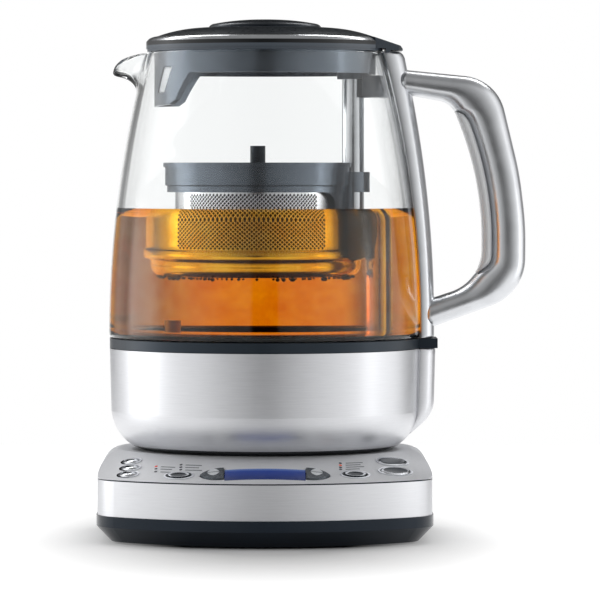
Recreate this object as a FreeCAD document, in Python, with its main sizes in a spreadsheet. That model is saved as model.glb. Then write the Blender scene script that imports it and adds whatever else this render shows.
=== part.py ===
"""Automatic tea maker: a glass jug with a motorised brewing basket, standing on a powered control base.

Frame: millimetres, +Z up. The origin is on the jug's axis at counter level.
The front with the controls faces -Y, the handle points to +X and the spout to -X.
"""
import FreeCAD, Part
import math
import os
import Sketcher
from types import SimpleNamespace
from FreeCAD import Placement, Rotation, Vector

doc = FreeCAD.newDocument("tea_maker")

# ---------------------------------------------------------------- driving dimensions

DIMENSIONS = {
    # power base
    "base_half_width": 82.0,
    "base_arc_radius": 110.0,
    "base_front_centre": 12.0,
    "base_back_centre": -28.0,
    "base_corner_radius": 26.0,
    "foot_height": 1.0,
    "foot_radius": 8.0,
    "foot_across": 46.0,
    "foot_front": -60.0,
    "foot_back": 44.0,
    "cover_chamfer_inset": 7.5,
    "cover_chamfer_top": 8.3,
    "cover_top": 13.9,
    "band_top": 31.1,
    "deck_bottom": 31.7,
    "platform_top": 42.7,
    "platform_radius": 75.0,
    "deck_shoulder_radius": 10.8,
    "cover_wall": 2.4,
    "cover_proud": 0.5,
    "steel_wall": 1.2,
    "deck_wall": 2.0,
    "seam_setback": 0.5,
    "seam_ring_wall": 2.2,
    "screw_radius": 1.6,
    "screw_head_radius": 3.0,
    "screw_head_height": 1.2,
    "boss_radius": 4.2,
    "screw_across": 56.0,
    "screw_front": -36.0,
    "screw_back": 38.0,
    "gland_height": 22.0,
    "gland_radius": 6.0,
    "gland_bore": 3.3,
    # controls on the sloping panel
    "panel_foot": 31.4,
    "button_gap": 0.35,
    "button_proud": 0.9,
    "button_depth": 3.4,
    "button_travel": 1.2,
    "bezel_width": 1.0,
    "bezel_height": 1.0,
    "small_button_length": 10.0,
    "small_button_width": 6.4,
    "select_button_length": 13.0,
    "select_button_width": 7.6,
    "large_button_length": 17.6,
    "large_button_width": 9.4,
    "display_length": 39.0,
    "display_depth": 13.4,
    "display_rho": 96.6,
    "rocker_length": 11.4,
    "rocker_depth": 13.0,
    "rocker_centre": 25.6,
    "rocker_gap": 0.5,
    "rocker_thickness": 4.2,
    "axle_radius": 0.9,
    "axle_height": 31.35,
    "axle_setback": 95.2,
    "axle_lug_x": 31.9,
    "axle_lug_width": 2.0,
    "lamp_radius": 0.75,
    "window_thickness": 1.5,
    "board_thickness": 1.6,
    "control_board_bottom": 20.0,
    "power_board_bottom": 10.0,
    "switch_side": 6.0,
    # connector between base and jug
    "connector_flange_radius": 16.5,
    "connector_radius": 11.6,
    "connector_top": 54.0,
    "connector_clearance": 0.6,
    "contact_ring_radius": 8.2,
    # jug
    "jug_bottom": 43.0,
    "jug_contact_radius": 61.6,
    "jug_cover_radius": 66.8,
    "jug_cover_top": 45.2,
    "body_corner_top": 62.0,
    "body_corner_radius": 22.2,
    "body_low_radius": 76.8,
    "body_top_radius": 77.6,
    "body_top": 93.2,
    "seal_band_bottom": 93.5,
    "seal_band_top": 98.3,
    "seal_band_radius": 77.6,
    "glass_foot": 98.3,
    "glass_waist_height": 100.0,
    "glass_waist_radius": 78.0,
    "glass_arc_radius": 540.0,
    "glass_wall": 3.0,
    "rim_height": 240.8,
    "plate_radius": 72.4,
    "plate_bottom": 96.4,
    "plate_top": 98.4,
    "element_radius": 38.0,
    "element_tube": 3.4,
    "probe_radius": 2.5,
    "probe_x": -30.0,
    "probe_y": 34.0,
    "frame_bottom": 58.5,
    "frame_thickness": 2.0,
    "jug_screw_circle": 52.0,
    # spine and handle
    "spine_half_width": 13.0,
    "spine_clearance": 0.25,
    "spine_top": 241.0,
    "spine_edge_radius": 5.0,
    "handle_half_width": 12.0,
    "handle_edge_radius": 6.0,
    "grip_half_width": 8.5,
    "grip_proud": 2.8,
    # lift post
    "post_x": 44.0,
    "post_radius": 5.5,
    "post_bore": 4.9,
    "post_top": 231.0,
    "socket_radius": 8.0,
    "socket_bottom": 227.2,
    "socket_top": 233.0,
    "bracket_top": 229.0,
    "bracket_panel_bottom": 218.2,
    "bracket_half_width": 9.0,
    "screw_rod_radius": 2.0,
    "running_gap": 0.06,
    "motor_radius": 12.0,
    "motor_bottom": 50.0,
    "gearbox_bottom": 72.0,
    "gearbox_top": 90.0,
    # brewing basket
    "basket_x": -3.6,
    "collar_radius": 46.4,
    "collar_lip_radius": 47.3,
    "collar_inner_radius": 43.5,
    "collar_ledge_radius": 41.4,
    "collar_bottom": 171.0,
    "collar_lip_bottom": 183.4,
    "collar_top": 185.6,
    "collar_ledge_top": 182.2,
    "sleeve_radius": 8.4,
    "sleeve_bore": 6.0,
    "sleeve_bottom": 136.0,
    "sleeve_top": 181.0,
    "saddle_inner": 42.4,
    "saddle_outer": 44.4,
    "magnet_inner": 6.6,
    "magnet_outer": 7.8,
    "magnet_height": 7.5,
    "cup_radius": 41.4,
    "cup_wall": 0.8,
    "cup_bottom": 128.6,
    "cup_step_height": 136.0,
    "cup_foot_radius": 39.6,
    "cup_hem_radius": 42.2,
    "cup_hem_top": 141.0,
    "basket_lid_gap": 0.3,
    "basket_lid_thickness": 2.2,
    "knob_radius": 3.8,
    "knob_top": 194.0,
    # jug lid
    "lid_seal_bottom": 241.1,
    "lid_ring_bottom": 242.4,
    "lid_ring_top": 246.0,
    "lid_radius": 59.3,
    "lid_dome_flat_radius": 30.0,
    "trim_inner_radius": 54.6,
    "lid_dome_top": 252.9,
    "lid_dome_fall_radius": 70.0,
    "grip_radius": 27.9,
    "grip_edge_height": 253.6,
    "lid_grip_top": 257.1,
    "skirt_radius": 55.3,
    "skirt_wall": 2.0,
    "skirt_bottom": 229.6,
    "skirt_plate_bottom": 238.0,
    "drop_bottom": 213.4,
    "drop_top_half_width": 41.4,
    "drop_foot_half_width": 34.0,
    "drop_foot": 216.4,
    "window_bottom": 220.0,
    "window_top": 232.7,
    "mesh_wall": 0.6,
    "tail_half_width": 13.5,
    "tail_root_half_width": 23.0,
    "tail_length": 68.5,
    "lid_screw_circle": 38.0,
    # spout
    "spout_root": 54.0,
    "spout_middle": 66.0,
    "spout_tip": 76.3,
    "spout_wall": 2.3,
    "spout_lip": 232.6,
}


class Size:
    """A number that also carries the spreadsheet expression that it comes from."""

    def __init__(self, value, text):
        self.value = float(value)
        self.text = text

    def __add__(self, other):
        other = as_size(other)
        return Size(self.value + other.value, f"({self.text} + {other.text})")

    def __sub__(self, other):
        other = as_size(other)
        return Size(self.value - other.value, f"({self.text} - {other.text})")

    def __mul__(self, other):
        other = as_size(other)
        return Size(self.value * other.value, f"({self.text} * {other.text})")

    def __truediv__(self, other):
        other = as_size(other)
        return Size(self.value / other.value, f"({self.text} / {other.text})")

    def __radd__(self, other):
        return as_size(other) + self

    def __rsub__(self, other):
        return as_size(other) - self

    def __rmul__(self, other):
        return as_size(other) * self

    def __neg__(self):
        return 0 - self


def as_size(number):
    """A plain number as a Size."""
    if isinstance(number, Size):
        return number
    return Size(number, f"({float(number):g})")


def fill_sheet():
    """Put the driving dimensions in the sheet and give back each one as a Size."""
    sheet = doc.addObject("Spreadsheet::Sheet", "dims")
    sizes = {}
    for row, (alias, value) in enumerate(DIMENSIONS.items(), start=1):
        sheet.set(f"A{row}", alias)
        sheet.set(f"B{row}", str(value))
        sheet.setAlias(f"B{row}", alias)
        sizes[alias] = Size(value, f"dims.{alias}")
    doc.recompute()
    return SimpleNamespace(**sizes)


D = fill_sheet()
NODES = []


# ---------------------------------------------------------------- ways of making a piece


def bind(thing, prop, size):
    thing.setExpression(prop, as_size(size).text)


def put(thing, at):
    """Bind the place of an object to three sizes."""
    for axis, size in zip("xyz", at):
        bind(thing, f"Placement.Base.{axis}", size)
    return thing


def box(low, high):
    thing = doc.addObject("Part::Box", "box")
    for prop, a, b in zip(("Length", "Width", "Height"), low, high):
        bind(thing, prop, as_size(b) - a)
    return put(thing, low)


TURNS = {
    "Z": Rotation(),
    "X": Rotation(Vector(0, 1, 0), 90),
    "Y": Rotation(Vector(1, 0, 0), -90),
}


def cylinder(radius, height, at=(0, 0, 0), along="Z"):
    thing = doc.addObject("Part::Cylinder", "cylinder")
    bind(thing, "Radius", radius)
    bind(thing, "Height", height)
    thing.Placement = Placement(Vector(), TURNS[along])
    return put(thing, at)


def tube(outer, inner, height, at=(0, 0, 0), along="Z"):
    return cut(cylinder(outer, height, at, along), cylinder(inner, height, at, along))


def cone(low_radius, high_radius, height, at=(0, 0, 0)):
    thing = doc.addObject("Part::Cone", "cone")
    bind(thing, "Radius1", low_radius)
    bind(thing, "Radius2", high_radius)
    bind(thing, "Height", height)
    return put(thing, at)


def cut(base, *tools):
    thing = doc.addObject("Part::Cut", "cut")
    thing.Base = base
    thing.Tool = tools[0] if len(tools) == 1 else fuse(*tools)
    return thing


def fuse(*shapes):
    thing = doc.addObject("Part::MultiFuse", "fuse")
    thing.Shapes = list(shapes)
    return thing


def common(*shapes):
    thing = doc.addObject("Part::MultiCommon", "common")
    thing.Shapes = list(shapes)
    return thing


def arc_through(start, end, radius, side):
    """The minor arc from start to end whose centre lies on the given side of the way."""
    way = end - start
    normal = Vector(-way.y, way.x, 0).normalize() * (1 if side == "left" else -1)
    middle = (start + end) * 0.5
    centre = middle + normal * math.sqrt(radius**2 - way.Length**2 / 4)
    return Part.Arc(start, centre - normal * radius, end)


def sketch_outline(sketch, points):
    """Draw a closed outline and bind every point and radius to its size.

    A point is (x, y), reached by a straight line from the point before it, or
    (x, y, radius, side), reached by an arc whose centre is on that side of the way.
    """
    places = [Vector(as_size(p[0]).value, as_size(p[1]).value, 0) for p in points]
    starts, ends, arcs = [], [], []
    for index, point in enumerate(points):
        before, here = places[index - 1], places[index]
        if len(point) == 2:
            geometry = Part.LineSegment(before, here)
        else:
            geometry = arc_through(before, here, as_size(point[2]).value, point[3])
        edge = sketch.addGeometry(geometry, False)
        forward = (sketch.getPoint(edge, 1) - before).Length < (sketch.getPoint(edge, 2) - before).Length
        starts.append((edge, 1 if forward else 2))
        ends.append((edge, 2 if forward else 1))
        if len(point) > 2:
            arcs.append((edge, point[2]))
    for index, point in enumerate(points):
        follower = starts[(index + 1) % len(points)]
        sketch.addConstraint(Sketcher.Constraint("Coincident", *ends[index], *follower))
        for kind, size, axis in (("DistanceX", point[0], -2), ("DistanceY", point[1], -1)):
            size = as_size(size)
            if abs(size.value) < 1e-9:
                sketch.addConstraint(Sketcher.Constraint("PointOnObject", *ends[index], axis))
                continue
            rule = sketch.addConstraint(Sketcher.Constraint(kind, *ends[index], size.value))
            sketch.setExpression(f"Constraints[{rule}]", size.text)
    for edge, radius in arcs:
        rule = sketch.addConstraint(Sketcher.Constraint("Radius", edge, as_size(radius).value))
        sketch.setExpression(f"Constraints[{rule}]", as_size(radius).text)


def body_with_sketch(plane, points):
    body = doc.addObject("PartDesign::Body", "body")
    sketch = body.newObject("Sketcher::SketchObject", "outline")
    support = next(f for f in body.Origin.OriginFeatures if f.Role == plane)
    sketch.AttachmentSupport = (support, [""])
    sketch.MapMode = "FlatFace"
    sketch_outline(sketch, points)
    return body, sketch


def turned(*points):
    """A solid turned about Z from a half section of (radius, height) points."""
    body, sketch = body_with_sketch("XZ_Plane", points)
    feature = body.newObject("PartDesign::Revolution", "turned")
    feature.Profile = sketch
    feature.ReferenceAxis = (sketch, ["V_Axis"])
    feature.Angle = 360
    return body


def slab(half_width, *points):
    """A plate of an (x, z) outline, as wide each side of the middle plane."""
    body, sketch = body_with_sketch("XZ_Plane", points)
    feature = body.newObject("PartDesign::Pad", "slab")
    feature.Profile = sketch
    feature.Midplane = True
    bind(feature, "Length", 2 * half_width)
    return body


def upright(bottom, top, *points):
    """A prism that stands on an (x, y) outline."""
    body, sketch = body_with_sketch("XY_Plane", points)
    feature = body.newObject("PartDesign::Pad", "upright")
    feature.Profile = sketch
    bind(feature, "Length", as_size(top) - bottom)
    put(body, (0, 0, bottom))
    return body


def crosswise(start, length, *points):
    """A prism of a (y, z) outline that runs along X."""
    body, sketch = body_with_sketch("YZ_Plane", points)
    feature = body.newObject("PartDesign::Pad", "crosswise")
    feature.Profile = sketch
    bind(feature, "Length", length)
    put(body, (start, 0, 0))
    return body


def round_edges(body, radius, wanted):
    """Round those edges of a body's last feature that the test picks out."""
    doc.recompute()
    base = body.Tip
    names = [f"Edge{i}" for i, edge in enumerate(base.Shape.Edges, start=1) if wanted(edge)]
    feature = body.newObject("PartDesign::Fillet", "rounded")
    feature.Base = (base, names)
    bind(feature, "Radius", radius)
    return body


def around(radius, start):
    """Three places spread evenly round the axis."""
    turns = [math.radians(start + 120 * i) for i in range(3)]
    return [(radius * math.cos(turn), radius * math.sin(turn)) for turn in turns]


def is_vertical(edge):
    a, b = edge.Vertexes[0].Point, edge.Vertexes[-1].Point
    return abs(a.z - b.z) > 1e-3 and abs(a.x - b.x) + abs(a.y - b.y) < 1e-3


def node(label, thing):
    """Name a finished piece; it becomes a file of its own."""
    thing.Label = label
    NODES.append(thing)
    return thing


# ---------------------------------------------------------------- power base: casing


def base_outline(inset):
    """The base seen from above: a bowed front and back joined by straight sides."""
    half = D.base_half_width - inset
    radius = D.base_arc_radius - inset
    reach = math.sqrt(radius.value**2 - half.value**2)
    depth = Size(reach, f"sqrt({radius.text} ^ 2 - {half.text} ^ 2)")
    front, back = D.base_front_centre - depth, D.base_back_centre + depth
    return [
        (-half, front),
        (half, front, radius, "left"),
        (half, back),
        (-half, back, radius, "left"),
    ]


def base_block(inset, bottom, top):
    """The base's outline, a little smaller all round, made solid between two heights."""
    body = upright(bottom, top, *base_outline(as_size(inset)))
    return round_edges(body, D.base_corner_radius - inset, is_vertical)


def chamfered_block():
    """The base's lower part, whose sides lean in towards the counter."""
    body = base_block(-D.cover_proud, D.foot_height, D.cover_top)
    doc.recompute()
    block = body.Tip
    low = min(v.Point.z for v in block.Shape.Vertexes)
    flat = [
        f"Edge{i}"
        for i, edge in enumerate(block.Shape.Edges, start=1)
        if all(abs(v.Point.z - low) < 1e-3 for v in edge.Vertexes)
    ]
    feature = body.newObject("PartDesign::Chamfer", "leaning_side")
    feature.Base = (block, flat)
    feature.ChamferType = 1
    bind(feature, "Size", D.cover_chamfer_inset)
    bind(feature, "Size2", D.cover_chamfer_top - D.foot_height)
    return body


FEET = [(side * D.foot_across, y) for side in (-1, 1) for y in (D.foot_front, D.foot_back)]
FEET.append((0, 0))  # the middle pad takes the push when the jug is set down
SCREWS = [(side * D.screw_across, y) for side in (-1, 1) for y in (D.screw_front, D.screw_back)]
BOARD_PILLARS = [(side * x, y) for side in (-1, 1) for x, y in ((60, -56), (14, -74))]
POWER_PILLARS = [(side * 42, y) for side in (-1, 1) for y in (0, 40)]


def make_base_casing():
    floor = D.foot_height + D.cover_wall
    shell = cut(
        chamfered_block(),
        base_block(D.cover_chamfer_inset + 0.4, floor, D.cover_top),
        *[cylinder(D.foot_radius, D.screw_head_height, (x, y, D.foot_height)) for x, y in FEET],
        *[cylinder(D.screw_radius, 8, (x, y, 0)) for x, y in SCREWS],
        *[cylinder(D.screw_head_radius, D.screw_head_height, (x, y, D.foot_height)) for x, y in SCREWS],
    )
    pillars = [cylinder(3, D.control_board_bottom - floor, (x, y, floor)) for x, y in BOARD_PILLARS]
    pillars += [cylinder(3, D.power_board_bottom - floor, (x, y, floor)) for x, y in POWER_PILLARS]
    node("base_bottom_cover", fuse(shell, *pillars))

    feet = [cylinder(D.foot_radius, D.foot_height + D.screw_head_height, (x, y, 0)) for x, y in FEET]
    node("rubber_feet", fuse(*feet))

    screws = [
        fuse(
            cylinder(D.screw_radius, 14, (x, y, D.foot_height)),
            cylinder(D.screw_head_radius, D.screw_head_height, (x, y, D.foot_height)),
        )
        for x, y in SCREWS
    ]
    node("base_screws", fuse(*screws))

    gland_hole = cylinder(D.gland_radius, 20, (0, 70, D.gland_height), "Y")
    node(
        "base_side_band",
        cut(
            base_block(0, D.cover_top, D.band_top),
            base_block(D.steel_wall, D.cover_top, D.band_top),
            gland_hole,
        ),
    )
    ring_outer = base_block(D.steel_wall, D.cover_top + 2, D.band_top)
    lip = base_block(D.seam_setback, D.band_top, D.deck_bottom)
    ring_inner = base_block(D.steel_wall + D.seam_ring_wall, D.cover_top, D.deck_bottom + 1)
    node("base_seam_ring", cut(fuse(ring_outer, lip), ring_inner, gland_hole))
    node("cord_gland", tube(D.gland_radius, D.gland_bore, 9, (0, 74, D.gland_height), "Y"))


# ---------------------------------------------------------------- power base: controls

PANEL_RISE = D.platform_top - D.panel_foot
PANEL_SLOPE = math.degrees(math.atan2(PANEL_RISE.value, (D.base_arc_radius - D.platform_radius).value))


def panel_frame(x, rho):
    """The place on the sloping panel at this x and distance from the bow's centre."""
    turn = math.asin(x / rho)
    height = D.panel_foot.value + (D.base_arc_radius.value - rho) * math.tan(math.radians(PANEL_SLOPE))
    spot = Vector(x, D.base_front_centre.value - rho * math.cos(turn), height)
    aside = Rotation(Vector(0, 0, 1), math.degrees(turn))
    lean = Rotation(Vector(1, 0, 0), PANEL_SLOPE)
    return Placement(spot, aside * lean)


BUTTONS = {
    "small_button_1": (-65.6, 86.5, "small_button"),
    "small_button_2": (-65.8, 94.2, "small_button"),
    "small_button_3": (-66.6, 102.0, "small_button"),
    "select_button_left": (-41.6, 100.4, "select_button"),
    "select_button_right": (43.6, 99.4, "select_button"),
    "large_button_upper": (62.4, 86.2, "large_button"),
    "large_button_lower": (63.4, 97.8, "large_button"),
}

LAMPS = [(-53.0, rho) for rho in (90.3, 93.1, 96.5)]
LAMPS += [(-40.8, rho) for rho in (87.0, 90.0, 93.1)]
LAMPS += [(36.6, rho) for rho in (84.8, 87.3, 89.8, 92.3)]


def oval(x, rho, kind, grow, low, high):
    """An oval prism square to the panel, between two heights above its surface."""
    length, width = getattr(D, kind + "_length"), getattr(D, kind + "_width")
    place = panel_frame(x, rho)
    place = place.multiply(Placement(Vector(0, 0, as_size(low).value), Rotation()))
    ring = doc.addObject("Part::Ellipse", "oval_line")
    bind(ring, "MajorRadius", length / 2 + grow)
    bind(ring, "MinorRadius", width / 2 + grow)
    ring.Placement = place
    prism = doc.addObject("Part::Extrusion", "oval")
    prism.Base = ring
    prism.DirMode = "Normal"
    prism.Solid = True
    bind(prism, "LengthFwd", as_size(high) - low)
    return prism


def panel_layer(depth):
    """Everything under the panel's slope, down by a depth."""
    foot = D.panel_foot - depth
    low = cylinder(D.base_arc_radius, D.panel_foot, (0, D.base_front_centre, -as_size(depth)))
    slope = cone(D.base_arc_radius, D.platform_radius, PANEL_RISE, (0, D.base_front_centre, foot))
    return fuse(low, slope)


def display_outline(grow):
    half = D.display_length / 2 + grow
    front = D.base_front_centre - D.display_rho - D.display_depth / 2 - grow
    back = D.base_front_centre - D.display_rho + D.display_depth / 2 + grow
    return [(-half, front), (half, front), (half, back), (-half, back)]


def rocker_outline(side, grow):
    """A half oval beside the display, flat towards it."""
    inner = side * (D.rocker_centre - D.rocker_length / 2 - grow)
    outer = side * (D.rocker_centre + D.rocker_length / 2 + grow)
    middle = D.base_front_centre - D.display_rho + 1.6
    half = D.rocker_depth / 2 + grow
    turn = "left" if side > 0 else "right"
    return [
        (inner, middle - half),
        (outer, middle, D.rocker_length * 0.96, turn),
        (inner, middle + half, D.rocker_length * 0.96, turn),
    ]


def rocker_prism(side, grow, bottom, top):
    return upright(bottom, top, *rocker_outline(side, as_size(grow)))


def make_deck():
    dome = base_block(0, D.deck_bottom, D.platform_top)
    doc.recompute()
    high = (D.platform_top - D.deck_bottom).value
    round_edges(
        dome,
        D.deck_shoulder_radius,
        lambda edge: all(abs(v.Point.z - high) < 1e-3 for v in edge.Vertexes),
    )
    hollow = base_block(D.deck_wall, 0, D.platform_top - D.deck_wall)
    doc.recompute()
    roof = (D.platform_top - D.deck_wall).value
    round_edges(
        hollow,
        D.deck_shoulder_radius - D.deck_wall,
        lambda edge: all(abs(v.Point.z - roof) < 1e-3 for v in edge.Vertexes),
    )
    skin = cut(common(dome, panel_layer(0)), common(hollow, panel_layer(D.deck_wall)))
    holes = [oval(x, rho, kind, D.button_gap, -8, 4) for x, rho, kind in BUTTONS.values()]
    holes += [lamp_pin(x, rho, -6, 3) for x, rho in LAMPS]
    holes += [rocker_prism(side, D.rocker_gap, 20, 50) for side in (-1, 1)]
    holes.append(upright(20, 50, *display_outline(as_size(0))))
    holes.append(cylinder(D.connector_radius, 20, (0, 0, 30)))
    floor = D.foot_height + D.cover_wall
    bosses = [
        tube(D.boss_radius, D.screw_radius, D.platform_top - D.deck_wall - floor, (x, y, floor))
        for x, y in SCREWS
    ]
    lugs = [axle_lug(side) for side in (-1, 1)]
    node("base_deck", fuse(cut(skin, *holes), *bosses, *lugs))


def rocker_axle(side, radius, start, end):
    """A pin along the rocker's axis, from its outer tip towards the base's side."""
    y = D.base_front_centre - D.axle_setback
    low, high = (start, end) if side > 0 else (-as_size(end), -as_size(start))
    return cylinder(radius, as_size(high) - low, (low, y, D.axle_height), "X")


def axle_lug(side):
    """The deck's drilled lug that carries one rocker's axle."""
    y = D.base_front_centre - D.axle_setback
    inner, outer = D.axle_lug_x, D.axle_lug_x + D.axle_lug_width
    low, high = (inner, outer) if side > 0 else (-outer, -inner)
    block = common(box((low, y - 2.2, D.axle_height - 2.2), (high, y + 2.2, 40)), panel_layer(1))
    return cut(block, rocker_axle(side, D.axle_radius + D.running_gap, 30, 36))


def lamp_pin(x, rho, low, high):
    place = panel_frame(x, rho).multiply(Placement(Vector(0, 0, low), Rotation()))
    pin = doc.addObject("Part::Cylinder", "lamp")
    bind(pin, "Radius", D.lamp_radius)
    pin.Height = high - low
    pin.Placement = place
    return pin


def make_controls():
    for label, (x, rho, kind) in BUTTONS.items():
        cap = oval(x, rho, kind, 0, -D.button_depth, D.button_proud)
        node(label, cap)

    bezels = []
    for x, rho, kind in BUTTONS.values():
        outer = oval(x, rho, kind, D.button_gap + D.bezel_width, -0.2, D.bezel_height - 0.6)
        inner = oval(x, rho, kind, D.button_gap, -1, 2)
        bezels.append(cut(outer, common(panel_layer(0), box((-90, -110, 0), (90, 0, 60))), inner))
    node("button_bezels", fuse(*bezels))

    window = cut(
        common(upright(25, 50, *display_outline(as_size(0))), panel_layer(0)),
        panel_layer(D.window_thickness),
    )
    node("display_window", window)
    module = common(
        upright(D.control_board_bottom + D.board_thickness, 50, *display_outline(as_size(-0.6))),
        panel_layer(D.window_thickness),
    )
    node("display_module", module)
    for side, label in ((-1, "rocker_left"), (1, "rocker_right")):
        cap = cut(
            common(rocker_prism(side, 0, 25, 50), panel_layer(-0.7)),
            panel_layer(D.rocker_thickness),
        )
        tip = D.axle_lug_x + D.axle_lug_width + 0.2
        node(label, fuse(cap, rocker_axle(side, D.axle_radius, D.rocker_centre, tip)))

    node("panel_lamps", fuse(*[lamp_pin(x, rho, -3.5, 0.25) for x, rho in LAMPS]))

    board = box((-72, -82, D.control_board_bottom), (72, -44, D.control_board_bottom + D.board_thickness))
    inside = base_block(D.steel_wall + D.seam_ring_wall + 0.5, 10, D.platform_top)
    node("control_board", common(board, inside))
    node("tact_switches", fuse(*[switch_under(x, rho) for x, rho in switch_spots()]))


def switch_spots():
    """Where a switch stands under each button and each end of a rocker."""
    spots = [(x, rho) for x, rho, kind in BUTTONS.values()]
    spots += [(side * 25.0, rho) for side in (-1, 1) for rho in (91.5, 98.5)]
    return spots


def switch_under(x, rho):
    """A switch on the board, with a plunger that ends under the button's travel."""
    place = panel_frame(x, rho)
    half = D.switch_side / 2 if rho < 90 or rho > 97 else D.switch_side / 2 - 0.2
    low = D.control_board_bottom + D.board_thickness
    case = box((x - half, place.Base.y - half, low), (x + half, place.Base.y + half, low + 3.4))
    height = place.Base.z - D.button_depth.value - D.button_travel.value - 1.6
    return fuse(case, cylinder(1.4, height - low.value - 3.4, (x, place.Base.y, low + 3.4)))


# ---------------------------------------------------------------- power base: inside


def make_base_inside():
    flange = tube(D.connector_flange_radius, D.connector_radius, 1.3, (0, 0, D.platform_top))
    barrel = cut(
        cylinder(D.connector_radius, D.connector_top - 34, (0, 0, 34)),
        cylinder(1.6, 30, (0, 0, 30)),
        cylinder(4, 10, (0, 0, D.connector_top - 4)),
    )
    node("power_connector", fuse(flange, barrel))
    rings = [
        tube(D.contact_ring_radius + 1.1, D.contact_ring_radius, 0.8, (0, 0, D.connector_top)),
        tube(6, 5, 0.8, (0, 0, D.connector_top)),
        cylinder(1.6, D.connector_top - 36, (0, 0, 36)),
    ]
    node("connector_contacts", fuse(*rings))

    high = D.power_board_bottom + D.board_thickness
    node("power_board", box((-48, -6, D.power_board_bottom), (48, 46, high)))
    relay = box((-40, 8, high), (-22, 28, high + 16))
    transformer = box((16, 10, high), (42, 34, high + 20))
    capacitor = cylinder(5, 18, (0, 36, high))
    beeper = cylinder(6, 7, (-8, 10, high))
    node("power_board_parts", fuse(relay, transformer, capacitor, beeper))


# ---------------------------------------------------------------- jug: glass


def glass_radius(height, shrink=0):
    """The radius of the glass wall's outline at a height, less an inset."""
    height = as_size(height)
    arc = D.glass_arc_radius - shrink
    rise = height - D.glass_waist_height
    centre = D.glass_waist_radius - D.glass_arc_radius
    reach = math.sqrt(arc.value**2 - rise.value**2)
    return centre + Size(reach, f"sqrt({arc.text} ^ 2 - {rise.text} ^ 2)")


def glass_solid(shrink, bottom, top):
    """The bulb inside the glass wall's outline, solid between two heights."""
    arc = D.glass_arc_radius - shrink
    return turned(
        (0, bottom),
        (glass_radius(bottom, shrink), bottom),
        (glass_radius(top, shrink), top, arc, "left"),
        (0, top),
    )


SPOUT_SECTIONS = (
    ("spout_root", 240.6, 25.0, 17.0),
    ("spout_middle", 238.5, 16.0, 10.5),
    ("spout_tip", 233.6, 5.2, 4.9),
)


def spout_solid(shrink, reach):
    """The beak as a run of ovals standing across it, widest where it leaves the wall."""
    ovals = []
    for place, height, tall, wide in SPOUT_SECTIONS:
        ring = doc.addObject("Part::Ellipse", "spout_oval")
        bind(ring, "MajorRadius", tall - as_size(shrink))
        bind(ring, "MinorRadius", wide - as_size(shrink))
        ring.Placement = Placement(Vector(), Rotation(Vector(0, 1, 0), 90))
        extra = reach if place == "spout_tip" else 0
        ovals.append(put(ring, (-getattr(D, place) - extra, 0, height)))
    loft = doc.addObject("Part::Loft", "spout")
    loft.Sections = ovals
    loft.Solid = True
    loft.Ruled = True
    return loft


def above_spout():
    """The space above the beak's sloping top edge."""
    return slab(
        30,
        (-40, D.rim_height),
        (-D.spout_root - 8, D.rim_height),
        (-D.spout_tip - 2, D.spout_lip),
        (-D.spout_tip - 2, 300),
        (-40, 300),
    )


def make_glass():
    outside = cut(fuse(glass_solid(0, D.glass_foot, D.rim_height), spout_solid(0, 0)), above_spout())
    room = glass_solid(D.glass_wall, D.glass_foot - 1, D.rim_height + 1)
    inside = fuse(room, spout_solid(D.spout_wall, 0.5))
    screw_holes = [cylinder(2.1, 12, (56, 0, height), "X") for height in BRACKET_SCREWS]
    node("jug_glass", cut(outside, inside, *screw_holes))


BRACKET_SCREWS = (221.5, 226.0)


# ---------------------------------------------------------------- jug: steel base


def body_outline(shrink, bottom, top):
    """The lower body's half section: a leaning side and a rounded bottom corner."""
    corner = D.body_corner_radius - shrink
    foot = D.jug_cover_radius - as_size(shrink) * 0.45
    return [
        (0, bottom),
        (foot, bottom),
        (D.body_low_radius - shrink, D.body_corner_top, corner, "left"),
        (D.body_top_radius - shrink, top),
        (0, top),
    ]


def lower_rib(clear):
    """The spine's run down the steel body."""
    wide = D.spine_half_width + clear
    return slab(
        wide,
        (70, D.body_top),
        (70, 50.5),
        (73.2 + clear, 51.5),
        (84.4 + clear, 65, 15, "left"),
        (85.2 + clear, D.body_top),
    )


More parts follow.
